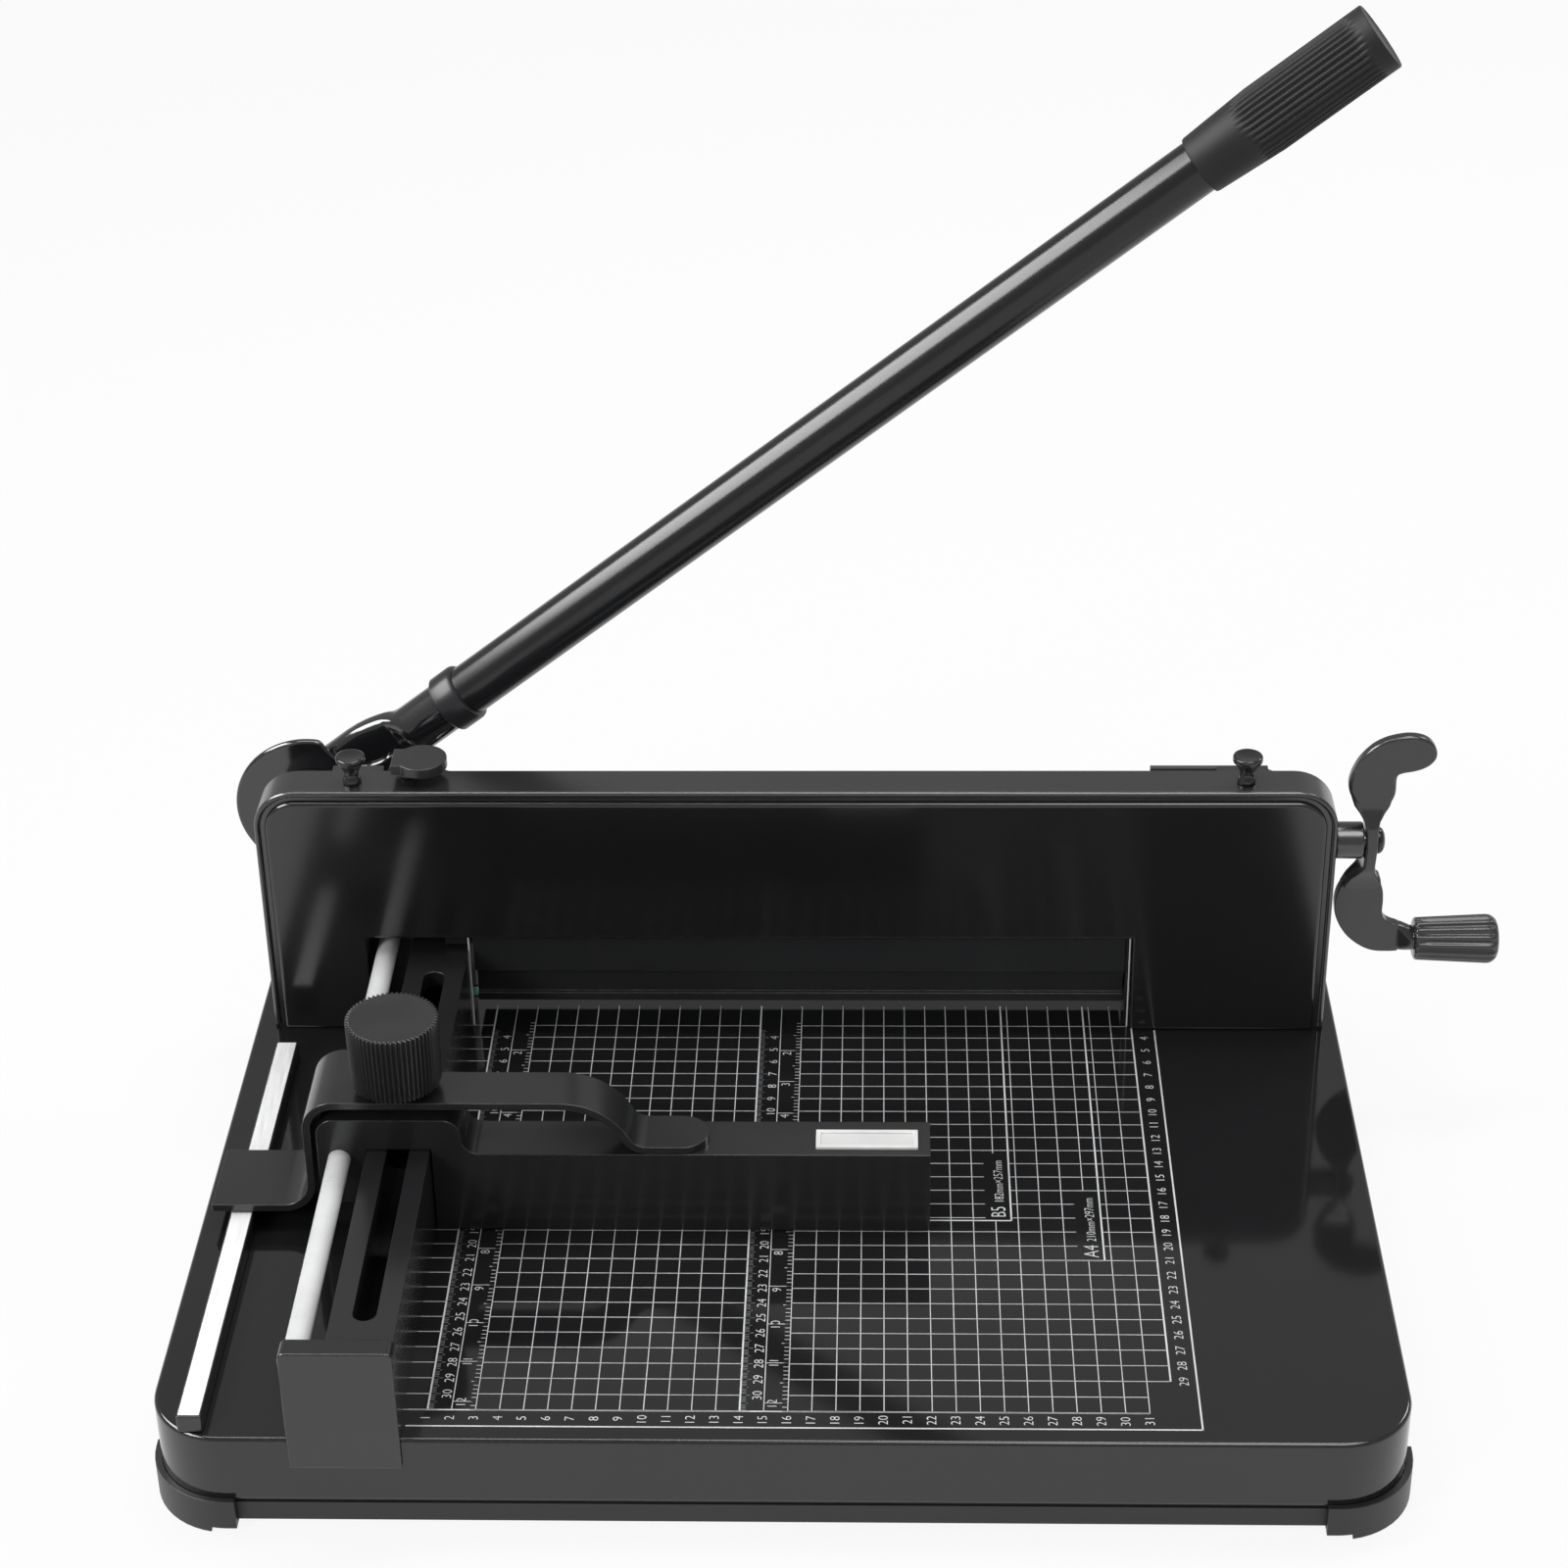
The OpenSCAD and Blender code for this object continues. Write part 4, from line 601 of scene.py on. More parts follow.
def lofted(sections: Sequence[Sequence[Vector]]) -> bmesh.types.BMesh:
    """A closed shape skinned over rings of points.

    Args:
        sections: Rings of equal count, in metres, each going the same way round.

    Returns:
        The shape, with capped ends and its faces turned outwards.
    """
    shape = bmesh.new()
    rings = [[shape.verts.new(p) for p in ring] for ring in sections]
    count = len(rings[0])
    for low, high in zip(rings, rings[1:]):
        for i in range(count):
            j = (i + 1) % count
            shape.faces.new((low[i], low[j], high[j], high[i]))
    shape.faces.new(list(reversed(rings[0])))
    shape.faces.new(rings[-1])
    bmesh.ops.recalc_face_normals(shape, faces=shape.faces)
    return shape


def plate(outline: Sequence[Vector], thickness: Vector) -> bmesh.types.BMesh:
    """A flat plate.

    Args:
        outline: Points round the plate, in metres.
        thickness: Way and distance from the outline to the plate's other side.

    Returns:
        The closed shape.
    """
    shape = bmesh.new()
    near = [shape.verts.new(p) for p in outline]
    far = [shape.verts.new(p + thickness) for p in outline]
    shape.faces.new(near)
    shape.faces.new(list(reversed(far)))
    for i in range(len(near)):
        j = (i + 1) % len(near)
        shape.faces.new((near[j], near[i], far[i], far[j]))
    bmesh.ops.recalc_face_normals(shape, faces=shape.faces)
    return shape


def joined(shapes: Iterable[bmesh.types.BMesh]) -> bmesh.types.BMesh:
    """Several shapes as one, with the single shapes freed.

    Args:
        shapes: The single shapes.

    Returns:
        The whole shape.
    """
    whole = bmesh.new()
    for shape in shapes:
        scratch = bpy.data.meshes.new("scratch")
        shape.to_mesh(scratch)
        shape.free()
        whole.from_mesh(scratch)
        bpy.data.meshes.remove(scratch)
    return whole


def smooth_outline(points: Sequence[Point], steps: int = 6) -> list[Point]:
    """A closed curve that passes through measured points.

    Args:
        points: The points in order round the outline.
        steps: Points made between two of them.

    Returns:
        The finer outline.
    """
    made: list[Point] = []
    for i in range(len(points)):
        p = [Vector(points[(i + k) % len(points)]) for k in (-1, 0, 1, 2)]
        for s in range(steps):
            t = s / steps
            spot = 0.5 * (2 * p[1] + (p[2] - p[0]) * t + (2 * p[0] - 5 * p[1] + 4 * p[2] - p[3]) * t * t
                          + (3 * p[1] - p[0] - 3 * p[2] + p[3]) * t ** 3)
            made.append((spot.x, spot.y))
    return made


def rounded_box(half_x: float, half_y: float, power: float, count: int = 40) -> list[Point]:
    """Points round a box with softened corners.

    Args:
        half_x: Half its width.
        half_y: Half its depth.
        power: 2 gives an oval, and more gives squarer corners.
        count: Number of points.

    Returns:
        The points.
    """
    ring: list[Point] = []
    for i in range(count):
        c, s = math.cos(math.tau * i / count), math.sin(math.tau * i / count)
        ring.append((half_x * math.copysign(abs(c) ** (2 / power), c),
                     half_y * math.copysign(abs(s) ** (2 / power), s)))
    return ring


def arc(centre: Point, radius: float, first: float, last: float, steps: int) -> list[Point]:
    """Points along an arc, both of its ends among them.

    Args:
        centre: Its middle.
        radius: Its radius.
        first: Angle of its first point in radians.
        last: Angle of its last point.
        steps: Stretches between its points.

    Returns:
        The points.
    """
    turns = [first + (last - first) * k / steps for k in range(steps + 1)]
    return [(centre[0] + radius * math.cos(t), centre[1] + radius * math.sin(t)) for t in turns]


def pin_profile(radius: float, low: float, high: float, chamfer: float) -> list[Point]:
    """Profile of a round pin with chamfered ends."""
    return [(0, low), (radius - chamfer, low), (radius, low + chamfer), (radius, high - chamfer),
            (radius - chamfer, high), (0, high)]


def wire(name: str, points: Iterable[Vector], edges: Sequence[tuple[int, int]] = ()) -> bpy.types.Mesh:
    """A mesh of points, with edges between some of them.

    Args:
        name: Name of the mesh.
        points: Its points in metres.
        edges: Pairs of points that an edge joins.

    Returns:
        The mesh.
    """
    mesh = bpy.data.meshes.new(name)
    mesh.from_pydata([tuple(p) for p in points], list(edges), [])
    return mesh


def aim(place: Vector, axis: Vector) -> Matrix:
    """Puts a shape that was turned about z onto a place, with its z along an axis."""
    return Matrix.Translation(place) @ axis.to_track_quat("Z", "Y").to_matrix().to_4x4()


# Geometry Nodes


class Recipe:
    """A Geometry Nodes tree with named inputs that can be run on a mesh."""

    def __init__(self, name: str, inputs: Sequence[tuple[str, str]]) -> None:
        """Starts the tree.

        Args:
            name: Name of the tree.
            inputs: Name and socket type of each input after the geometry.
        """
        self.tree = bpy.data.node_groups.new(name, "GeometryNodeTree")
        self.bench = NodeBench(self.tree)
        sockets = [("Geometry", "NodeSocketGeometry"), *inputs, ("Material", "NodeSocketMaterial")]
        self.keys = {key: self.tree.interface.new_socket(key, in_out="INPUT", socket_type=kind).identifier
                     for key, kind in sockets}
        self.tree.interface.new_socket("Geometry", in_out="OUTPUT", socket_type="NodeSocketGeometry")
        self.given = self.bench.node("NodeGroupInput")

    def finish(self, geometry: Tap) -> "Recipe":
        """Ends the tree in Realize Instances and Set Material.

        Args:
            geometry: What the tree has made.

        Returns:
            The recipe itself.
        """
        real = self.bench.node("GeometryNodeRealizeInstances", {}, {"Geometry": geometry})
        dressed = self.bench.node("GeometryNodeSetMaterial", {},
                                  {"Geometry": real, "Material": self.given.other("Material")})
        self.bench.end("NodeGroupOutput", dressed)
        return self

    def run(self, mesh: bpy.types.Mesh, finish: Finish, **values: Any) -> bpy.types.Mesh:
        """Runs the tree once.

        Args:
            mesh: The mesh that goes in, which is removed.
            finish: Finish of the result.
            **values: A value for each named input, with its spaces written as underscores.

        Returns:
            The result as a plain mesh.
        """
        def add(scratch: bpy.types.Object) -> None:
            """Adds the modifier and sets its inputs.

            Args:
                scratch: The object that gets it.
            """
            made = scratch.modifiers.new("recipe", "NODES")
            made.node_group = self.tree
            made[self.keys["Material"]] = finish.material()
            for key, value in values.items():
                made[self.keys[key.replace("_", " ")]] = value
        return evaluated(mesh, add)


def fluting() -> Recipe:
    """Straight flutes cut round a shape turned about z, running out at both ends.

    Returns:
        The tree.
    """
    sizes = ("Flutes", "Depth", "Start", "End", "Run out", "Sharpness", "Core")
    made = Recipe("fluting", [(size, "NodeSocketFloat") for size in sizes])
    bench, given = made.bench, made.given
    spot = bench.node("GeometryNodeInputPosition")
    parts = bench.node("ShaderNodeSeparateXYZ", {}, {0: spot})
    x, y, z = parts, parts.other(1), parts.other(2)
    turn = y.maths("ARCTAN2", y, x) * given.other("Flutes")
    wave = (turn.maths("COSINE", turn) * 0.5 + 0.5) ** given.other("Sharpness")
    run = given.other("Run out")
    start, end = given.other("Start"), given.other("End")
    mask = bench.step(z, start, start + run) * bench.step(z, end, end - run)
    flat = bench.node("ShaderNodeCombineXYZ", {}, {0: x, 1: y})
    length = bench.node("ShaderNodeVectorMath", {"operation": "LENGTH"}, {0: flat}, "Value")
    outer = length.maths("GREATER_THAN", length, given.other("Core"))
    way = bench.node("ShaderNodeVectorMath", {"operation": "NORMALIZE"}, {0: flat})
    shift = bench.node("ShaderNodeVectorMath", {"operation": "SCALE"},
                       {0: way, "Scale": wave * mask * outer * given.other("Depth") * -1.0})
    return made.finish(bench.node("GeometryNodeSetPosition", {}, {"Geometry": given, "Offset": shift}))


def printed_marks() -> Recipe:
    """A row of equal flat bars, as printed lines and ticks are.

    Returns:
        The tree.
    """
    made = Recipe("printed_marks", [("Count", "NodeSocketInt"), ("First", "NodeSocketVector"),
                                    ("Pitch", "NodeSocketVector"), ("Width", "NodeSocketFloat"),
                                    ("Length", "NodeSocketFloat")])
    bench, given = made.bench, made.given
    row = bench.node("GeometryNodeMeshLine", {"mode": "OFFSET"},
                     {"Count": given.other("Count"), "Start Location": given.other("First"),
                      "Offset": given.other("Pitch")})
    bar = bench.node("GeometryNodeMeshGrid", {},
                     {"Size X": given.other("Width"), "Size Y": given.other("Length"),
                      "Vertices X": 2, "Vertices Y": 2})
    return made.finish(bench.node("GeometryNodeInstanceOnPoints", {}, {"Points": row, "Instance": bar}))


def fasteners() -> Recipe:
    """One fastener at every point of a mesh.

    Returns:
        The tree.
    """
    made = Recipe("fasteners", [("Fastener", "NodeSocketObject"), ("Turn", "NodeSocketVector")])
    bench, given = made.bench, made.given
    one = bench.node("GeometryNodeObjectInfo", {}, {"Object": given.other("Fastener"), "As Instance": True},
                     "Geometry")
    turn = bench.node("FunctionNodeEulerToRotation", {}, {0: given.other("Turn")})
    return made.finish(bench.node("GeometryNodeInstanceOnPoints", {},
                                  {"Points": given, "Instance": one, "Rotation": turn}))


def edge_bead() -> Recipe:
    """A round bead that follows a line of edges.

    Returns:
        The tree.
    """
    made = Recipe("edge_bead", [("Radius", "NodeSocketFloat")])
    bench, given = made.bench, made.given
    line = bench.node("GeometryNodeMeshToCurve", {}, {0: given})
    ring = bench.node("GeometryNodeCurvePrimitiveCircle", {"mode": "RADIUS"},
                      {"Resolution": 16, "Radius": given.other("Radius")})
    return made.finish(bench.node("GeometryNodeCurveToMesh", {},
                                  {"Curve": line, "Profile Curve": ring, "Fill Caps": True}))


FLUTING, MARKS, FASTENERS, BEAD = fluting(), printed_marks(), fasteners(), edge_bead()


# Pieces


def piece(name: str, mesh: bpy.types.Mesh, finish: Finish, body: str, *nodes: str) -> bpy.types.Object:
    """Puts a finished mesh into the scene.

    Args:
        name: Name of the piece.
        mesh: Its mesh, in the row frame.
        finish: Its finish.
        body: The body that it rides on.
        *nodes: The CAD nodes that it stands for.

    Returns:
        The object.
    """
    mesh.name = name
    mesh.materials.clear()
    mesh.materials.append(finish.material())
    made = placed(name, mesh)
    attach(made, body)
    if nodes:
        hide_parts(*nodes)
    LOG.info("piece %s: %d faces on %s", name, len(mesh.polygons), body)
    return made


def softened_piece(node: str, finish: Finish, radius: float, segments: int = 3) -> bpy.types.Object:
    """Stands a CAD node's own shape, with rounded edges, in its place.

    Args:
        node: The CAD node.
        finish: Its finish.
        radius: Radius of its edges in millimetres.
        segments: Faces across an edge.

    Returns:
        The object.
    """
    shape = solid_copy(node)
    soften(shape, radius, segments)
    return piece(node + "_worked", weighted(plain_mesh(node, shape)), finish, BODY_OF[node], node)


def dress(finish: Finish, *nodes: str) -> None:
    """Gives CAD nodes that keep their own mesh a finish.

    Args:
        finish: Their finish.
        *nodes: The CAD nodes.
    """
    for node in nodes:
        mesh = frame["nodes"][node].data
        mesh.materials.clear()
        mesh.materials.append(finish.material())
        LOG.info("node %s keeps its solid: %s", node, finish.name)


def middles(node: str) -> list[Vector]:
    """Middle of each separate solid of a CAD node, in order along x, then y, then z.

    Args:
        node: The CAD node.

    Returns:
        The middles in metres.
    """
    shape = solid_copy(node)
    left = set(shape.verts)
    found: list[Vector] = []
    while left:
        group, edge = set(), {left.pop()}
        while edge:
            vert = edge.pop()
            group.add(vert)
            edge |= {e.other_vert(vert) for e in vert.link_edges} - group
        left -= group
        low = Vector([min(v.co[k] for v in group) for k in range(3)])
        high = Vector([max(v.co[k] for v in group) for k in range(3)])
        found.append((low + high) / 2)
    shape.free()
    return sorted(found, key=lambda p: (round(p.x, 5), round(p.y, 5), round(p.z, 5)))


class Drive(Enum):
    """Recess in a screw's head: its corners, and its radius against the head's diameter."""

    HEX = (6, 0.28)
    CROSS = (4, 0.2)


def screw_head(diameter: float, height: float, length: float, shank: float,
               drive: Drive) -> bmesh.types.BMesh:
    """A screw with a recessed head, turned about z, with its head's seat at z 0.

    Args:
        diameter: Diameter of the head in millimetres.
        height: Height of the head.
        length: Length of the shank below the head.
        shank: Diameter of the shank.
        drive: Shape of the recess.

    Returns:
        The shape.
    """
    r, edge, count = diameter / 2, 0.12 * diameter, 24
    corners, share = drive.value
    hole, bottom, wall = share * diameter, 0.3 * height, 0.35 * height
    shape = turned([(0, -length), (shank / 2, -length), (shank / 2, 0), (r, 0), (r, height - edge),
                    (r - edge, height), (hole * 1.12, height), (hole, height - 0.1 * diameter),
                    (hole, wall), (0, bottom)], count)
    for vert in shape.verts:
        above = vert.co.z > (bottom + wall) / 2 * MM
        if above and vert.co.xy.length < hole * 1.05 * MM:
            turn = math.atan2(vert.co.y, vert.co.x) % (math.tau / corners) - math.pi / corners
            vert.co.xy = vert.co.xy * (math.cos(math.pi / corners) / math.cos(turn))
    return shape


def screws(name: str, shape: bmesh.types.BMesh, places: Sequence[Vector], turn: Vector, finish: Finish,
           node: str) -> bpy.types.Object:
    """Sets one screw at each place.

    Args:
        name: Name of the piece.
        shape: The screw, turned about z.
        places: Where the heads' seats lie.
        turn: Euler angles that point z along the screws' heads.
        finish: Their finish.
        node: The CAD node that they stand for.

    Returns:
        The object.
    """
    pattern = placed(name + "_pattern", plain_mesh(name + "_one", shape, 35.0))
    mesh = FASTENERS.run(wire("places", places), finish, Fastener=pattern, Turn=turn)
    bpy.data.objects.remove(pattern)
    return piece(name, mesh, finish, BODY_OF[node], node)


# The cutter


@dataclass
class Base:
    """Tray with the table on it, bottom pan, feet and cutting stick."""

    tray_edge: float = 2.4
    pan_edge: float = 0.8
    foot_edge: float = 1.3
    stick_edge: float = 0.35
    screw_d: float = 4.0
    screw_head_d: float = 8.0
    screw_head_h: float = 2.2

    def build(self) -> None:
        """Makes the pieces."""
        softened_piece("base_tray", TABLE_COAT, self.tray_edge, 4)
        softened_piece("bottom_pan", PAN_PLASTIC, self.pan_edge)
        softened_piece("corner_feet", FOOT_PLASTIC, self.foot_edge)
        softened_piece("cutting_stick", STICK_PLASTIC, self.stick_edge, 2)
        low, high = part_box("foot_screws")
        head = self.screw_head_h
        seats = [Vector((p.x, p.y, low.z + head * MM)) for p in middles("foot_screws")]
        shape = screw_head(self.screw_head_d, head, (high.z - low.z) / MM - head, self.screw_d, Drive.CROSS)
        screws("foot_screws_worked", shape, seats, Vector((math.pi, 0, 0)), TURNED_Z, "foot_screws")


@dataclass(frozen=True)
class Marks:
    """A ruler's row of equal marks, with its places and sizes in millimetres."""

    count: int
    first: float
    step: float
    length: float
    width: float
    gap: float = 0.0


@dataclass(frozen=True)
class Lettering:
    """Height and narrowing of a paper's lettering, and its place from the paper's near right corner."""

    cap: float
    narrow: float
    x: float
    y: float


@dataclass
class TablePrint:
    """White rulers, grid and paper marks printed on the table, in millimetres from the zero point."""

    pitch: float = 10.0
    height: float = 0.03
    fine: float = 0.36
    bold: float = 0.75
    back: float = -13.0
    front: int = 31
    right: int = 32
    first_row: int = 3
    right_rows: int = 29
    left_end: float = 2.0
    frame_front: float = -320.0
    frame_right: float = 331.0
    frame_back: float = -33.0
    rulers: tuple[int, ...] = (1, 14)
    ruler_columns: int = 2
    inch_marks: tuple[Marks, ...] = (
        Marks(112, 1.1 * INCH, 0.1 * INCH, 2.4, 0.312), Marks(11, 1.5 * INCH, INCH, 3.6, 0.36),
        Marks(11, 2 * INCH, INCH, 10.0, 0.36))
    mm_marks: tuple[Marks, ...] = (
        Marks(276, 34.0, 1.0, 2.2, 0.24, 0.2), Marks(28, 35.0, 10.0, 3.2, 0.24, 0.1),
        Marks(28, 40.0, 10.0, 4.2, 0.24, 0.1))
    digit: float = 4.3
    first_figure: int = 4
    inches: int = 12
    cm_x: float = 7.0
    inch_x: float = 13.4
    inch_shift: float = -2.4
    front_shift: float = -0.4
    papers: tuple[tuple[str, float, float], ...] = (("B5", 182.0, 257.0), ("A4", 210.0, 297.0))
    name_side: float = 4.5
    name_rows: int = 5
    name_type: Lettering = Lettering(7.0, 0.8, -5.6, 6.4)
    size_type: Lettering = Lettering(4.4, 0.78, -5.0, 29.0)
    font_cap: float = 0.73
    font_thin: float = -0.012

    def row(self, count: int, first: Point, step: Point, width: float, length: float,
            finish: Finish = WHITE_INK) -> bpy.types.Mesh:
        """A row of equal bars.

        Args:
            count: How many.
            first: Middle of the first bar.
            step: Way and distance to the next.
            width: Size along x.
            length: Size along y.
            finish: The ink.

        Returns:
            Their mesh.
        """
        return MARKS.run(bpy.data.meshes.new("row"), finish, Count=count, First=at(*first, self.height),
                         Pitch=Vector((*step, 0.0)) * MM, Width=width * MM, Length=length * MM)

    def upright(self, x: float, y0: float, y1: float, width: float) -> bpy.types.Mesh:
        """A line that runs away from the user."""
        return self.row(1, (x, (y0 + y1) / 2), (0, 0), width, abs(y1 - y0))

    def across(self, y: float, x0: float, x1: float, width: float) -> bpy.types.Mesh:
        """A line that runs across the table."""
        return self.row(1, ((x0 + x1) / 2, y), (0, 0), x1 - x0, width)

    def ruler_sides(self) -> list[float]:
        """Left and right side of each ruler that stands in the grid."""
        return [side * self.pitch for column in self.rulers for side in (column, column + self.ruler_columns)]

    def gap(self, depth: float, length: float) -> tuple[float, float, float]:
        """Left end, near end and far end of the clear space for a paper's name."""
        left = math.floor(length / self.pitch) * self.pitch - self.name_side
        return left, -depth, -depth + self.name_rows * self.pitch

    def lines(self) -> list[bpy.types.Mesh]:
        """The grid, the frame round it and the outlines of the papers.

        Returns:
            A mesh for each line.
        """
        made: list[bpy.types.Mesh] = []
        sides, last = self.ruler_sides(), -self.front * self.pitch
        clear = {math.floor(length / self.pitch): self.gap(depth, length) for _, depth, length in self.papers}
        for i in range(1, self.front + 1):
            width = self.bold if i in self.rulers else self.fine
            x = i * self.pitch
            if i in clear:
                _, near, far = clear[i]
                made += [self.upright(x, last, near, width), self.upright(x, far, self.back, width)]
            else:
                made.append(self.upright(x, last, self.back, width))
        near = -self.right_rows * self.pitch
        made.append(self.upright(self.right * self.pitch, near, self.back, self.bold))
        for i in range(self.first_row, self.front + 1):
            y = -i * self.pitch
            stops = [0.0, *sides]
            for _, depth, length in self.papers:
                left, near, far = self.gap(depth, length)
                if near < y < far:
                    stops += [left, length]
            stops.append((self.right if i <= self.right_rows else self.front) * self.pitch)
            made += [self.across(y, x0, x1, self.fine) for x0, x1 in zip(stops[::2], stops[1::2])]
        made.append(self.across(self.frame_front, self.left_end, self.frame_right, self.bold))
        made.append(self.upright(self.frame_right, self.frame_front, self.frame_back, self.bold))
        made.append(self.across(last, self.left_end, self.front * self.pitch, self.bold))
        for _, depth, length in self.papers:
            made += [self.upright(length, -depth, self.back, self.bold),
                     self.across(-depth, sides[1], sides[2], self.bold),
                     self.across(-depth, sides[3], length, self.bold)]
        return made

    def ticks(self) -> list[bpy.types.Mesh]:
        """Tenth-inch and inch marks, which start at the right sides of the rulers."""
        return [self.row(m.count, (right - m.length / 2, -m.first), (0, -m.step), m.length, m.width)
                for right in self.ruler_sides()[1::2] for m in self.inch_marks]

    def faint_ticks(self) -> list[bpy.types.Mesh]:
        """Millimetre marks, which start at the left sides of the rulers.

        Returns:
            A mesh for each row.
        """
        return [self.row(m.count, (left + m.gap + m.length / 2, -m.first), (0, -m.step), m.length, m.width,
                         FAINT_INK)
                for left in self.ruler_sides()[::2] for m in self.mm_marks]

    def word(self, text: str, x: float, y: float, cap: float, narrow: float = 1.0) -> bmesh.types.BMesh:
        """Printed figures that read away from the user.

        Args:
            text: The figures.
            x: Middle of their height, which lies along x.
            y: Middle of their length.
            cap: Height of a figure.
            narrow: Width of the figures against the type's own.

        Returns:
            Their faces.
        """
        curve = bpy.data.curves.new("figures", "FONT")
        curve.body, curve.size, curve.resolution_u = text, 1.0, 3
        curve.align_x, curve.offset = "CENTER", self.font_thin
        holder = placed("figures", curve)
        mesh = bpy.data.meshes.new_from_object(holder.evaluated_get(bpy.context.evaluated_depsgraph_get()))
        bpy.data.objects.remove(holder)
        bpy.data.curves.remove(curve)
        shape = bmesh.new()
        shape.from_mesh(mesh)
        bpy.data.meshes.remove(mesh)
        bmesh.ops.remove_doubles(shape, verts=shape.verts, dist=1e-5)
        low = [min(v.co[k] for v in shape.verts) for k in (0, 1)]
        high = [max(v.co[k] for v in shape.verts) for k in (0, 1)]
        scale = cap / self.font_cap
        for vert in shape.verts:
            along = (vert.co.x - (low[0] + high[0]) / 2) * scale * narrow
            rise = (vert.co.y - (low[1] + high[1]) / 2) * scale
            vert.co = at(x - rise, y + along, self.height)
        for face in shape.faces:
            face.normal_update()
            if face.normal.z < 0:
                face.normal_flip()
        return shape

    def figures(self) -> list[bmesh.types.BMesh]:
        """All printed numbers and the names of the papers.

        Returns:
            The faces of each word.
        """
        made: list[bmesh.types.BMesh] = []
        for left in self.ruler_sides()[::2]:
            for i in range(self.first_figure, self.front):
                made.append(self.word(str(i), left + self.cm_x, -i * self.pitch, self.digit))
            for i in range(2, self.inches + 1):
                shift = self.inch_shift if i < 10 else 0.0
                made.append(self.word(str(i), left + self.inch_x, -i * INCH + shift, self.digit))
        low = -(self.front + 0.5) * self.pitch
        for i in range(1, self.front + 1):
            made.append(self.word(str(i), i * self.pitch + self.front_shift, low, self.digit))
        right = (self.right * self.pitch + self.frame_right) / 2
        for i in range(self.first_figure, self.right_rows + 1):
            made.append(self.word(str(i), right, -i * self.pitch, self.digit))
        for name, depth, length in self.papers:
            for text, kind in ((name, self.name_type), (f"{depth:.0f}mm×{length:.0f}mm", self.size_type)):
                made.append(self.word(text, length + kind.x, -depth + kind.y, kind.cap, kind.narrow))
        return made

    def build(self) -> None:
        """Makes the two printed pieces."""
        white, faint = bmesh.new(), bmesh.new()
        for whole, meshes in ((white, self.lines() + self.ticks()), (faint, self.faint_ticks())):
            for mesh in meshes:
                whole.from_mesh(mesh)
                bpy.data.meshes.remove(mesh)
        grid = joined([white, *self.figures()])
        piece("table_print", plain_mesh("table_print", grid), WHITE_INK, "base")
        fine = piece("table_fine_ticks", plain_mesh("table_fine_ticks", faint), FAINT_INK, "base")


@dataclass
class SideGuide:
    """Slotted rail, rod, front bracket and the bright scale bar at the left."""

    rail_edge: float = 0.6
    bracket_edge: float = 1.1
    bar_edge: float = 0.7
    tape_edge: float = 0.12
    rod_chamfer: float = 0.6

    def build(self) -> None:
        """Makes the pieces."""
        softened_piece("slotted_rail", SIDE_COAT, self.rail_edge)
        softened_piece("front_bracket", SIDE_COAT, self.bracket_edge)
        softened_piece("scale_bar", SIDE_COAT, self.bar_edge)
        softened_piece("scale_tape", BRIGHT_STRIP, self.tape_edge, 2)
        low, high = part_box("guide_rod")
        rod = turned(pin_profile((high.x - low.x) / 2 / MM, 0, (high.y - low.y) / MM, self.rod_chamfer))
        rod.transform(aim(Vector(((low.x + high.x) / 2, low.y, (low.z + high.z) / 2)), AWAY))
        piece("guide_rod_worked", plain_mesh("guide_rod", rod, 30.0), ROD_AND_HIGHLIGHT_WHITE, "base", "guide_rod")


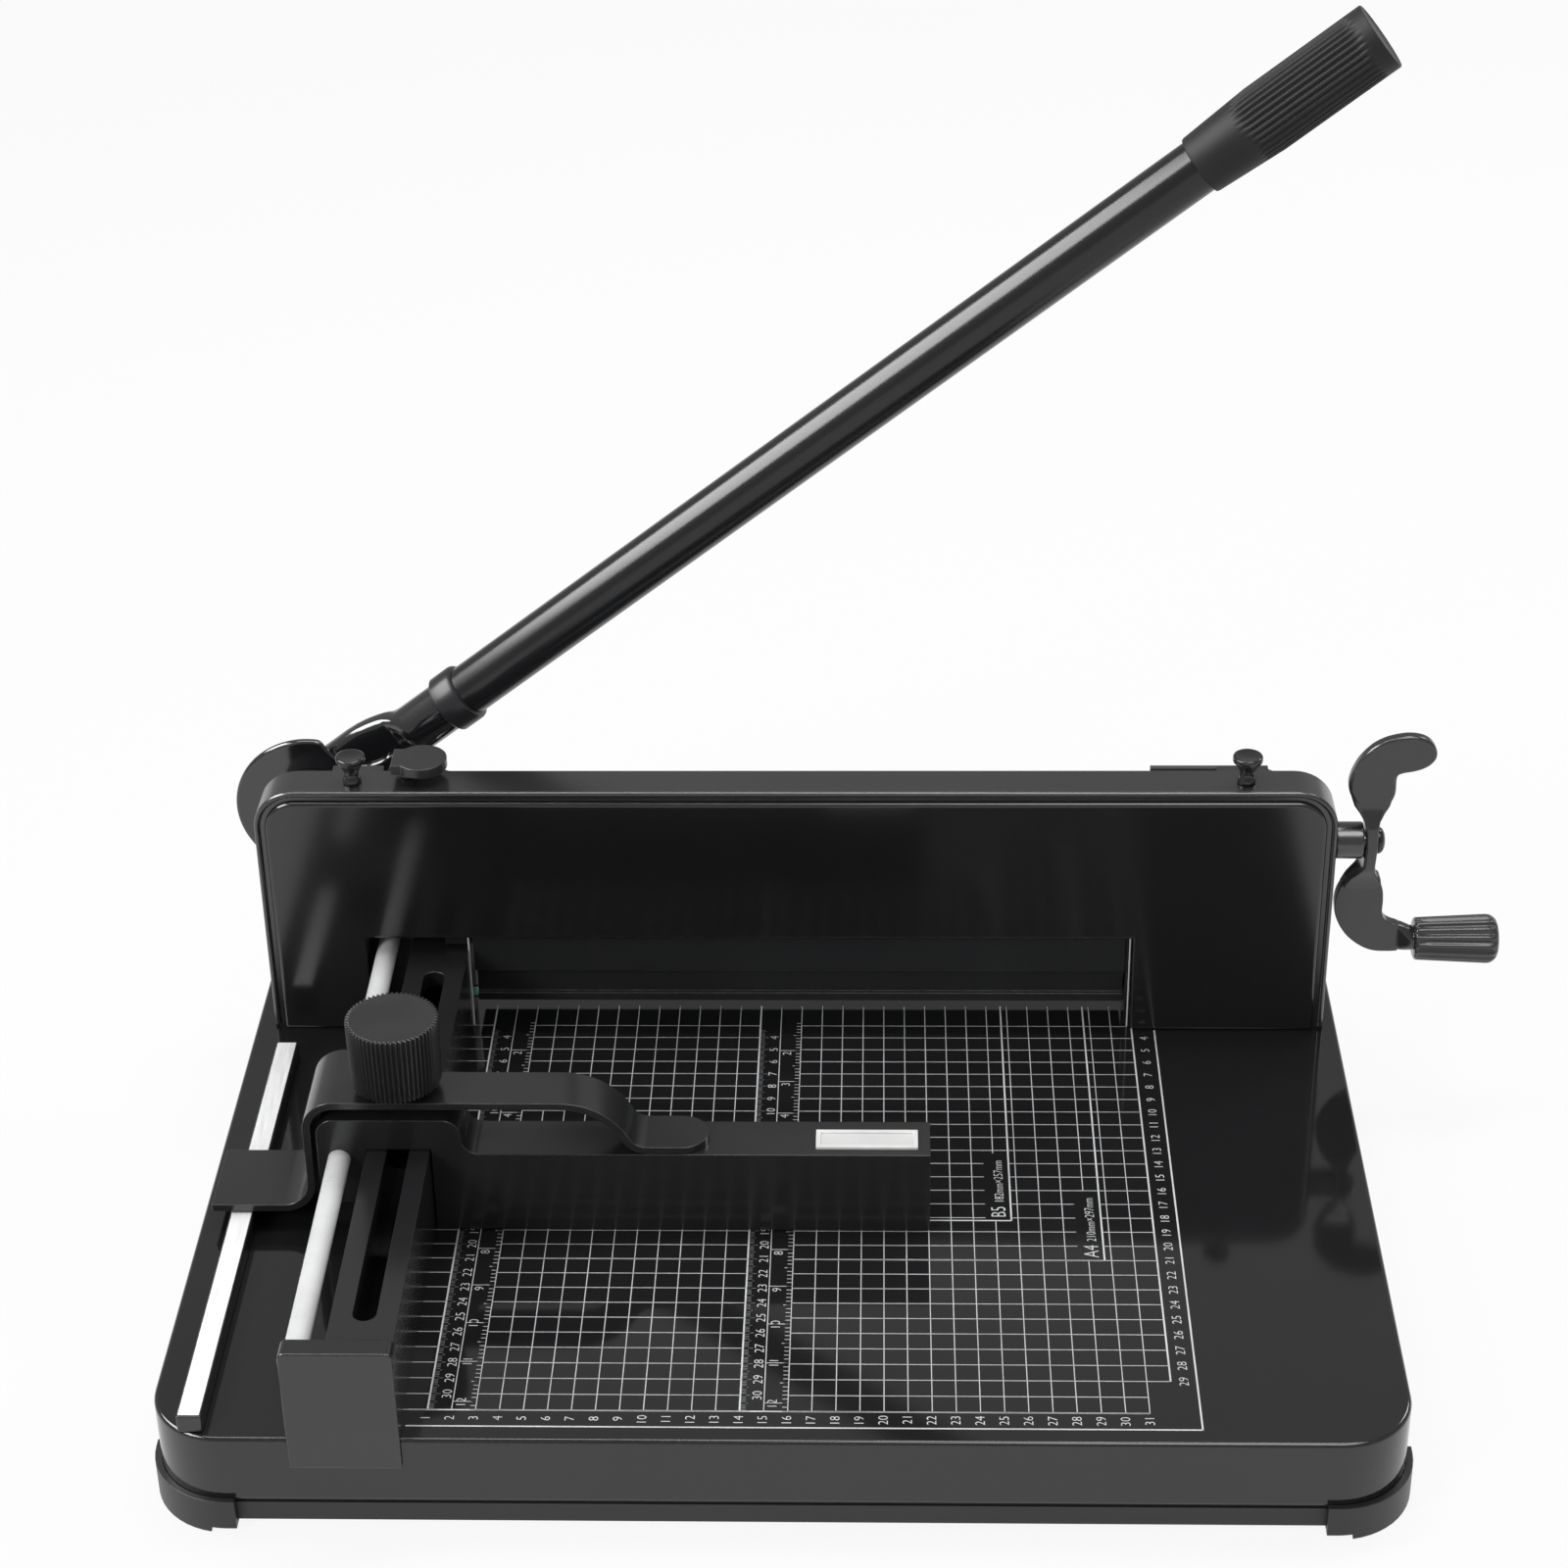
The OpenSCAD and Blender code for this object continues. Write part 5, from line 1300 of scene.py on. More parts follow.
@dataclass
class Housing:
    """Frame plate, cover with its front panel and bead, thumb screws and lock knob."""

    plate_edge: float = 0.7
    cover_edge: float = 1.4
    corner: float = 20.0
    panel_edge: float = 2.2
    lock_edge: float = 0.8
    bead: float = 1.5
    bead_in: float = 0.2
    # Radius and places of the white beads that paint highlights on the throat's upright edges.
    line: float = 0.4
    line_x: Point = (0.2, 317.9)
    line_y: float = -29.8
    line_z: Point = (0.3, 51.5)
    thread: float = 2.5
    flange: float = 4.3
    neck: float = 3.2
    head: float = 7.0

    def bead_path(self) -> bpy.types.Mesh:
        """The line just inside the cover's front edge.

        Returns:
            A mesh of edges.
        """
        low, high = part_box("housing_wrap")
        bead, radius = self.bead * MM, (self.corner - self.bead) * MM
        x0, x1, foot, top = low.x + bead, high.x - bead, low.z + bead, high.z - bead
        path = [(x0, foot), *arc((x0 + radius, top - radius), radius, math.pi, math.pi / 2, 16),
                *arc((x1 - radius, top - radius), radius, math.pi / 2, 0.0, 16), (x1, foot)]
        points = [Vector((x, low.y + self.bead_in * MM, z)) for x, z in path]
        return wire("bead_path", points, [(i, i + 1) for i in range(len(points) - 1)])

    def throat_lines(self) -> bpy.types.Mesh:
        """Paths of a painted highlight: white beads along the upright edges at both ends of the throat."""
        ends = [at(x, self.line_y, z) for x in self.line_x for z in self.line_z]
        return wire("throat_lines", ends, [(0, 1), (2, 3)])

    def thumb_screw(self, height: float, depth: float) -> bmesh.types.BMesh:
        """A thumb screw with a flat, slightly dished head.

        Args:
            height: Height above the cover in millimetres.
            depth: Length of its thread below.

        Returns:
            The shape, turned about z.
        """
        h, t, f, n, r = height, self.thread, self.flange, self.neck, self.head
        foot = [(0, -depth), (t, -depth), (t, 0.05), (f - 0.4, 0.05), (f, 0.5), (f, 2.2), (f - 0.5, 3.0)]
        stem = [(n + 0.2, 3.8), (n, 5.0), (n, 0.36 * h), (n + 0.5, 0.44 * h), (r - 1.6, 0.68 * h)]
        head = [(r - 0.3, 0.77 * h), (r, 0.81 * h), (r, 0.94 * h), (r - 0.25, 0.975 * h), (r - 0.9, h),
                (r - 1.7, 0.99 * h), (r * 0.5, 0.955 * h), (0, 0.95 * h)]
        return turned(foot + stem + head, 48)

    def panel(self) -> bpy.types.Mesh:
        """The front panel with its front edge rounded over its whole thickness.

        Returns:
            The mesh in the row frame.
        """
        shape = solid_copy("front_panel")
        soften(shape, self.panel_edge, 5, 60.0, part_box("front_panel")[0].y + 0.1 * MM)
        return weighted(plain_mesh("front_panel", shape))

    def build(self) -> None:
        """Makes the pieces."""
        softened_piece("frame_plate", FRAME_PAINT, self.plate_edge)
        softened_piece("housing_wrap", COVER_COAT, self.cover_edge)
        piece("front_panel_worked", self.panel(), PANEL_COAT, "base", "front_panel")
        bead = BEAD.run(self.bead_path(), COVER_COAT, Radius=self.bead * MM)
        bead.shade_smooth()
        piece("cover_bead", bead, COVER_COAT, "base")
        # White beads on the throat's upright edges: a painted highlight for the bright lines these edges catch.
        lines = BEAD.run(self.throat_lines(), ROD_AND_HIGHLIGHT_WHITE, Radius=self.line * MM)
        lines.shade_smooth()
        piece("throat_edges", lines, ROD_AND_HIGHLIGHT_WHITE, "base")
        dress(FRAME_PAINT, "cover_tabs")
        low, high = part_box("thumb_screws")
        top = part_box("housing_wrap")[1].z
        shapes = []
        for spot in middles("thumb_screws"):
            shape = self.thumb_screw((high.z - top) / MM, (top - low.z) / MM)
            shape.transform(Matrix.Translation(Vector((spot.x, spot.y, top))))
            shapes.append(shape)
        heads = plain_mesh("thumb_screws", joined(shapes), 40.0)
        piece("thumb_screws_worked", heads, GLOSS_PLASTIC, "base", "thumb_screws")
        softened_piece("lock_knob", KNOB_PLASTIC, self.lock_edge)
        dress(TURNED_Z, "lock_cam")


@dataclass
class ClampDrive:
    """Clamp bar with its wedge drive, shaft and crank.

    The lobes' outlines are x and z from the crank's middle. The necks up and down hold z, middle, half width
    and half depth of each section, and the neck out to the grip holds x, middle, half height, half depth and
    squareness.
    """

    clamp_edge: float = 0.7
    bush_edge: float = 0.8
    plate_t: float = 6.0
    lobe_edge: float = 1.7
    upper: tuple[Point, ...] = (
        (-6.0, 17.0), (-9.0, 22.0), (-11.4, 26.5), (-12.3, 31.0), (-11.9, 35.0), (-10.6, 39.4), (-7.7, 45.3),
        (-2.4, 51.4), (3.2, 54.9), (9.0, 56.7), (14.5, 57.4), (20.0, 56.6), (24.2, 54.3), (26.8, 50.6),
        (27.5, 46.8), (26.3, 43.6), (23.2, 40.6), (18.2, 38.5), (12.8, 37.4), (10.4, 36.2), (9.8, 33.6),
        (9.9, 28.0), (9.3, 24.4), (7.6, 20.4), (5.8, 17.0))
    lower: tuple[Point, ...] = (
        (-8.3, -18.0), (-11.4, -22.5), (-13.6, -27.6), (-14.6, -33.5), (-14.2, -39.0), (-12.7, -43.6),
        (-10.6, -47.8), (-7.8, -51.8), (-4.0, -55.5), (1.0, -58.9), (6.0, -60.6), (11.5, -60.9),
        (15.8, -60.7), (17.2, -59.4), (17.2, -48.0), (16.2, -46.2), (12.6, -44.8), (9.6, -42.4),
        (8.3, -38.6), (8.3, -33.0), (7.9, -27.5), (6.8, -23.5), (4.4, -18.0))
    neck_up: tuple[tuple[float, float, float, float], ...] = (
        (0.0, 0.0, 3.0, 9.0), (9.5, -0.1, 2.95, 8.0), (13.0, -0.3, 3.9, 6.2), (16.5, -0.4, 6.0, 4.4),
        (20.0, -0.6, 8.4, 3.3), (24.5, -0.8, 9.8, 2.6))
    neck_down: tuple[tuple[float, float, float, float], ...] = (
        (0.0, 0.0, 3.0, 9.0), (-11.0, -0.3, 2.9, 8.0), (-15.0, -1.3, 4.4, 6.2), (-19.0, -2.4, 7.4, 4.5),
        (-23.0, -2.9, 9.3, 3.4), (-28.0, -3.0, 10.4, 2.6))
    neck_out: tuple[tuple[float, float, float, float, float], ...] = (
        (9.0, -52.9, 7.4, 2.8, 6.0), (15.5, -53.1, 7.2, 2.9, 6.0), (18.4, -53.6, 6.9, 4.0, 4.0),
        (20.8, -54.2, 6.4, 5.4, 2.6), (22.8, -54.7, 6.1, 6.0, 2.0), (24.0, -54.9, 6.0, 6.0, 2.0))
    neck_power: float = 7.0
    cap: float = 6.5
    cap_shank: float = 2.9
    pin_from: float = 20.4
    pin_chamfer: float = 0.6
    grip_taper: float = 1.5
    grip_start: float = 2.2
    grip_round: float = 5.0
    grip_faces: int = 216
    grip_flutes: int = 16
    flute_depth: float = 1.2
    flute_run_out: float = 2.5

    def crank_arm(self, centre: Vector) -> bmesh.types.BMesh:
        """The crank's twisted strap: an upright hub, a flat lobe above and below, and a neck out to the grip.

        Args:
            centre: Middle of the strap, on the shaft's axis.

        Returns:
            The shape in the row frame.
        """
        shapes = []
        for outline in (self.upper, self.lower):
            ring = [centre + Vector((x, -self.plate_t / 2, z)) * MM for x, z in smooth_outline(outline, 4)]
            lobe = plate(ring, Vector((0, self.plate_t * MM, 0)))
            soften(lobe, self.lobe_edge, 4, 60.0)
            shapes.append(lobe)
        for neck in (self.neck_up, self.neck_down):
            shapes.append(lofted([[centre + Vector((cx + x, y, z)) * MM
                                   for x, y in rounded_box(a, b, self.neck_power)] for z, cx, a, b in neck]))
        shapes.append(lofted([[centre + Vector((x, y, cz + z)) * MM for y, z in rounded_box(b, a, power)]
                              for x, cz, a, b, power in self.neck_out]))
        return joined(shapes)

    def cap_screw(self, seat: Vector) -> bmesh.types.BMesh:
        """The domed screw that holds the crank, with its head's seat at the shaft's end.

        Args:
            seat: Where the head's seat lies.

        Returns:
            The shape in the row frame.
        """
        low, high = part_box("crank_screw")
        head, sunk = (high.x - seat.x) / MM, (seat.x - low.x) / MM
        r, shank = self.cap, self.cap_shank
        shape = turned([(0, -sunk), (shank, -sunk), (shank, 0.02), (r - 0.2, 0.02), (r, 0.3), (r, 1.0),
                        (r - 0.3, 1.9), (r - 1.3, 2.9), (r - 2.9, 3.6), (1.9, 0.97 * head), (0, head)], 40)
        shape.transform(aim(seat, RIGHT))
        return shape

    def spindle(self, centre: Vector) -> bmesh.types.BMesh:
        """The grip's spindle, from inside the strap's neck to its tip.

        Args:
            centre: Middle of the strap, on the shaft's axis.

        Returns:
            The shape in the row frame.
        """
        low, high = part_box("crank_spindle")
        tip = (high.x - centre.x) / MM
        shape = turned(pin_profile((high.z - low.z) / 2 / MM, self.pin_from, tip, self.pin_chamfer), 32)
        shape.transform(aim(Vector((centre.x, centre.y, (low.z + high.z) / 2)), RIGHT))
        return shape

    def crank_grip(self) -> bpy.types.Mesh:
        """The crank's fluted grip, which widens outwards to a rounded end.

        Returns:
            The mesh in the row frame.
        """
        low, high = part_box("crank_grip")
        length, r, bow = (high.x - low.x) / MM, (high.z - low.z) / 2 / MM, self.grip_round
        slim, first, last = r - self.grip_taper, self.grip_start, length - bow - 1.0
        flank = [(slim + (r - slim) * k / 6, first + (last - first) * k / 6) for k in range(7)]
        end = arc((r - bow, length - bow), bow, 0.0, math.pi / 2, 6)
        shape = turned([(0, 0), (slim - 1.6, 0), (slim - 0.5, 0.4), (slim, 1.3), *flank, *end, (0, length)],
                       self.grip_faces)
        mesh = FLUTING.run(plain_mesh("crank_grip", shape), HANDLE_PLASTIC, Flutes=float(self.grip_flutes),
                           Depth=self.flute_depth * MM, Start=0.2 * MM, End=(length - 1.2) * MM,
                           Run_out=self.flute_run_out * MM, Sharpness=1.3, Core=(slim - 3) * MM)
        mesh.set_sharp_from_angle(angle=math.radians(50))
        mesh.transform(aim(Vector((low.x, (low.y + high.y) / 2, (low.z + high.z) / 2)), RIGHT))
        return mesh

    def build(self) -> None:
        """Makes the pieces."""
        softened_piece("clamp_bar", CLAMP_PAINT, self.clamp_edge)
        softened_piece("shaft_bush", COVER_COAT, self.bush_edge)
        dress(TURNED_Y, "clamp_pins")
        # The clamp guides take the panel's darker, glossier black instead of the clamp's paint: painted shade, so
        # that they read dark under the cover.
        dress(PANEL_COAT, "clamp_guides")
        dress(FRAME_PAINT, "wedge_strips", "shaft_bearings")
        dress(DRAWN_STEEL, "wedge_bar")
        dress(NUT_BRASS, "screw_nut")
        dress(TURNED_X, "clamp_shaft")
        shaft, right = joint_place("clamp_crank"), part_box("clamp_shaft")[1].x
        centre = Vector((right - self.plate_t / 2 * MM, shaft.y, shaft.z))
        arm = weighted(plain_mesh("crank_arm", self.crank_arm(centre)))
        piece("crank_arm_worked", arm, CRANK_COAT, "crank", "crank_arm")
        cap = plain_mesh("crank_screw", self.cap_screw(Vector((right, shaft.y, shaft.z))), 40.0)
        piece("crank_screw_worked", cap, GLOSS_PLASTIC, "crank", "crank_screw")
        piece("crank_grip_worked", self.crank_grip(), HANDLE_PLASTIC, "crank_handle", "crank_grip")
        pin = plain_mesh("crank_spindle", self.spindle(centre), 40.0)
        piece("crank_spindle_worked", pin, TURNED_X, "crank", "crank_spindle")


@dataclass
class CuttingHead:
    """Lever with its forged arm, blade with its carrier, and the guides."""

    rest: float = 37.8
    tube: float = 12.5
    tube_in: float = 2.0
    tube_end: float = 612.0
    collar_at: float = 88.0
    collar_len: float = 13.0
    collar: float = 14.75
    grip_at: float = 530.0
    grip_len: float = 95.0
    grip_1: float = 14.0
    grip_2: float = 16.0
    grip_steps: int = 44
    swell_steps: int = 16
    flutes: int = 34
    flute_depth: float = 1.0
    flute_run_out: float = 3.0
    smooth_share: float = 0.27
    rim: float = 6.0
    disc: float = 37.5
    disc_y: Point = (-7.0, -3.0)
    disc_edge: float = 1.8
    boss: float = 22.0
    boss_chamfer: float = 0.8
    hub_y: Point = (-9.0, 9.0)
    drive: float = 5.0
    drive_r: float = 75.68
    drive_end: float = 9.5
    drive_root: float = 17.6
    drive_t: float = 10.0
    drive_edge: float = 1.2
    scoop: tuple[float, float, float] = (29.7, 41.2, 20.0)
    horn: Point = (44.7, 28.0)
    neck_up: float = 18.3
    neck_low: float = 20.0
    neck_fall: float = 0.13
    neck_half: float = 6.5
    neck_side: float = -2.5
    neck_power: float = 3.4
    neck_bend: Point = (36.0, 62.0)
    neck_round: Point = (56.0, 67.0)
    neck_at: tuple[float, ...] = (8, 16, 24, 32, 38, 44, 49, 53, 56, 58, 60, 62, 64, 66, 68, 74, 82, 90)
    block_edge: float = 0.8
    nut_edge: float = 0.9
    carrier_edge: float = 0.6
    guide_edge: float = 0.5
    bolt: float = 8.0
    bolt_head: float = 12.0
    cap_screw: float = 4.0
    cap_head: float = 7.0
    cap_head_h: float = 1.9

    def along(self) -> Matrix:
        """Puts z along the resting lever, x up across it, y towards the user and the origin on its pivot.

        Returns:
            The matrix into the row frame.
        """
        a = math.radians(self.rest)
        way, up = Vector((math.cos(a), 0, math.sin(a))), Vector((-math.sin(a), 0, math.cos(a)))
        turn = Matrix((up, -AWAY, way)).transposed().to_4x4()
        return Matrix.Translation(joint_place("lever_swing")) @ turn

    def drive_plate(self, outline: Sequence[Point], y: Point, edge: float) -> bmesh.types.BMesh:
        """A plate on the drive arm.

        Args:
            outline: Points in millimetres, along the drive arm and above it.
            y: Front and back of the plate, in millimetres from the lever's middle plane.
            edge: Radius of its edges.

        Returns:
            The shape in the row frame.
        """
        pivot, a = joint_place("lever_swing"), math.radians(self.drive)
        c, s = math.cos(a), math.sin(a)
        ring = [pivot + Vector((x * c - z * s, y[0], x * s + z * c)) * MM for x, z in outline]
        shape = plate(ring, Vector((0, (y[1] - y[0]) * MM, 0)))
        soften(shape, edge, 4, 60.0)
        return shape

    def drive_tip(self) -> list[Point]:
        """The round end of the drive arm."""
        return arc((self.drive_r, 0.0), self.drive_end, -math.pi / 2, math.pi / 2, 18)

    def disc_outline(self) -> list[Point]:
        """The disc with the drive arm's web, scooped out between the disc and the neck.

        Returns:
            Points in millimetres, along the drive arm and above it.
        """
        cx, cz, r = self.scoop
        meet = math.atan2(cz, cx) + math.acos((self.disc ** 2 + cx ** 2 + cz ** 2 - r ** 2)
                                              / (2 * self.disc * math.hypot(cx, cz)))
        first = math.atan2(self.horn[1] - cz, self.horn[0] - cx)
        last = math.atan2(self.disc * math.sin(meet) - cz, self.disc * math.cos(meet) - cx)
        made = arc((0.0, 0.0), self.disc, meet, 1.5 * math.pi, 90) + self.drive_tip()
        made += arc((cx, cz), r, first, last, 24)[:-1]
        for _ in range(2):
            made = [((p[0] + 2 * q[0] + n[0]) / 4, (p[1] + 2 * q[1] + n[1]) / 4)
                    for p, q, n in zip(made[-1:] + made[:-1], made, made[1:] + made[:1])]
        return made

    def neck_ring(self, s: float) -> list[Vector]:
        """Section of the neck: a flat bar near the hub that turns round towards the tube.

        Args:
            s: Distance from the pivot along the lever, in millimetres.

        Returns:
            Points in the lever's own frame, in metres.
        """
        begin, radius = self.neck_bend
        bend = max(0.0, s - begin)
        top = max(self.tube, self.neck_up - radius + math.sqrt(max(0.0, radius ** 2 - bend ** 2)))
        low = -max(self.tube, self.neck_low - s * self.neck_fall)
        start, end = self.neck_round
        t = min(1.0, max(0.0, (s - start) / (end - start)))
        t = t * t * (3 - 2 * t)
        half = self.neck_half + (self.tube - self.neck_half) * t
        power = self.neck_power + (2.0 - self.neck_power) * t
        return [Vector(((top + low) / 2 + u, self.neck_side * (1 - t) + v, s)) * MM
                for u, v in rounded_box((top - low) / 2, half, power, 64)]

    def arm(self) -> bmesh.types.BMesh:
        """The forged arm: a disc and a drive arm on a boss, and a neck that rounds towards the tube.

        Returns:
            The shape in the row frame.
        """
        bar = [(0.0, self.drive_root), (0.0, -self.drive_root), *self.drive_tip()]
        hub = turned(pin_profile(self.boss, *self.hub_y, self.boss_chamfer), 72)
        hub.transform(aim(joint_place("lever_swing"), AWAY))
        neck = lofted([self.neck_ring(s) for s in self.neck_at])
        neck.transform(self.along())
        front = self.hub_y[0]
        return joined([self.drive_plate(self.disc_outline(), self.disc_y, self.disc_edge),
                       self.drive_plate(bar, (front, front + self.drive_t), self.drive_edge), hub, neck])

    def turned_piece(self, name: str, profile: Sequence[Point], finish: Finish, node: str) -> None:
        """Turns a piece of the lever and sets it on the lever's line.

        Args:
            name: Name of the piece.
            profile: Radius and distance from the pivot of each point, in millimetres.
            finish: Its finish.
            node: The CAD node that it stands for.
        """
        shape = turned(profile, 72)
        shape.transform(self.along())
        piece(name, plain_mesh(name, shape, 32.0), finish, "lever", node)

    def grip(self) -> bpy.types.Mesh:
        """The lever's grip: a smooth start, then straight flutes that stop short of a plain rim.

        Returns:
            The mesh in the row frame.
        """
        r1, r2, end = self.grip_1, self.grip_2, self.grip_len
        body = [(r1 + (r2 - r1) * min(1.0, k / self.swell_steps), 1.5 + (end - 4.0) * k / self.grip_steps)
                for k in range(self.grip_steps + 1)]
        shape = turned([(0, 0), (r1 - 1.2, 0), (r1 - 0.3, 0.4), *body, (r2, end - 0.5), (r2 - 0.5, end),
                        (r2 - 1.6, end), (r2 - 2.2, end - 0.3), (0, end - 0.3)], self.flutes * 10)
        mesh = FLUTING.run(plain_mesh("lever_grip", shape), GRIP_PLASTIC, Flutes=float(self.flutes),
                           Depth=self.flute_depth * MM, Start=self.smooth_share * end * MM,
                           End=(end - self.rim) * MM, Run_out=self.flute_run_out * MM, Sharpness=1.6,
                           Core=(r1 - 1.5) * MM)
        mesh.set_sharp_from_angle(angle=math.radians(40))
        mesh.transform(self.along() @ Matrix.Translation(Vector((0, 0, self.grip_at * MM))))
        return mesh

    def lever(self) -> None:
        """Makes the lever's pieces."""
        arm = weighted(plain_mesh("lever_arm", self.arm()))
        piece("lever_arm_worked", arm, FORGED_COAT, "lever", "lever_arm")
        a, b, r = self.collar_at, self.collar_at + self.collar_len, self.collar
        ring = [(0, a), (r - 1.0, a), (r, a + 1.0), (r, b - 1.6), (r - 0.5, b - 0.5), (r - 1.6, b), (0, b)]
        self.turned_piece("lever_collar_worked", ring, COLLAR_COAT, "lever_collar")
        start, end, r = a + self.tube_in, self.tube_end, self.tube
        self.turned_piece("lever_tube_worked", [(0, start), (r, start), (r, end), (0, end)], TUBE_COAT,
                          "lever_tube")
        piece("lever_grip_worked", self.grip(), GRIP_PLASTIC, "lever", "lever_grip")

    def build(self) -> None:
        """Makes the pieces."""
        self.lever()
        dress(TURNED_Y, "drive_pin", "lever_pivot")
        softened_piece("pivot_block", FRAME_PAINT, self.block_edge)
        softened_piece("pivot_nut", TURNED_Y, self.nut_edge)
        dress(GROUND_STEEL, "blade")
        softened_piece("blade_carrier", FRAME_PAINT, self.carrier_edge)
        softened_piece("guide_rails", FRAME_PAINT, self.guide_edge)
        # The caps take a grey that paints light onto their fronts.
        softened_piece("guide_caps", CAP_GREY_PAINTED_LIGHT, self.guide_edge)
        turn = Vector((-math.pi / 2, 0, 0))
        low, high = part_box("blade_bolts")
        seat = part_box("blade_carrier")[1].y
        bolt = screw_head(self.bolt_head, (high.y - seat) / MM, (seat - low.y) / MM, self.bolt, Drive.HEX)
        bolts = [Vector((p.x, seat, p.z)) for p in middles("blade_bolts")]
        screws("blade_bolts_worked", bolt, bolts, turn, TURNED_Y, "blade_bolts")
        low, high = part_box("cap_screws")
        head = self.cap_head_h
        screw = screw_head(self.cap_head, head, (high.y - low.y) / MM - head, self.cap_screw, Drive.HEX)
        seats = [Vector((p.x, high.y - head * MM, p.z)) for p in middles("cap_screws")]
        screws("cap_screws_worked", screw, seats, turn, TURNED_Y, "cap_screws")


@dataclass
class BackGauge:
    """Sliding gauge with its strap, clamp knob and label window."""

    bar_edge: float = 0.9
    strap_edge: float = 1.1
    label_edge: float = 0.3
    pane_edge: float = 0.15
    ribs: int = 58
    rib_depth: float = 1.5
    skirt_at: float = 5.0
    skirt: float = 0.97

    def knob(self) -> bpy.types.Mesh:
        """The gauge's knob: straight ribs up to a rounded rim round a flat top, a little narrower below.

        Returns:
            The mesh in the row frame.
        """
        low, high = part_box("gauge_knob")
        h, r, foot = (high.z - low.z) / MM, (high.x - low.x) / 2 / MM, self.skirt_at
        stem = [(0, 0), (r - 8.6, 0), (r - 8.5, foot - 0.6), (r * self.skirt - 1.0, foot - 0.4)]
        side = [(r * (self.skirt + (1 - self.skirt) * k / 8), foot + (h - foot - 0.8) * k / 8)
                for k in range(9)]
        rim = [(r - 0.12, h - 0.36), (r - 0.36, h - 0.12), (r - 0.75, h), (r - 2.6, h), (r - 3.2, h - 0.25)]
        shape = turned([*stem, *side, *rim, (0, h - 0.25)], self.ribs * 12)
        mesh = FLUTING.run(plain_mesh("gauge_knob", shape), KNOB_PLASTIC, Flutes=float(self.ribs),
                           Depth=self.rib_depth * MM, Start=3.8 * MM, End=(h + 2.0) * MM, Run_out=1.0 * MM,
                           Sharpness=0.8, Core=(r - 2.4) * MM)
        mesh.set_sharp_from_angle(angle=math.radians(60))
        mesh.transform(Matrix.Translation(Vector(((low.x + high.x) / 2, (low.y + high.y) / 2, low.z))))
        return mesh

    def build(self) -> None:
        """Makes the pieces."""
        softened_piece("gauge_bar", SIDE_COAT, self.bar_edge)
        softened_piece("gauge_strap", STRAP_COAT, self.strap_edge)
        piece("gauge_knob_worked", self.knob(), KNOB_PLASTIC, "knob", "gauge_knob")
        dress(DARK_SCREW, "clamp_stud")
        softened_piece("label_frame", WINDOW_PLASTIC, self.label_edge)
        softened_piece("label_pane", WINDOW_PANE, self.pane_edge, 2)


class Reach(Enum):
    """What a lamp lights: everything, only reflections, or only the colours themselves."""

    ALL = "all"
    GLOSS = "gloss"
    MATT = "matt"


@dataclass(frozen=True)
class SoftBox:
    """A lamp's name, place in metres, power in watts, width and height in metres, and reach."""

    name: str
    place: tuple[float, float, float]
    power: float
    size: Point
    reach: Reach = Reach.ALL


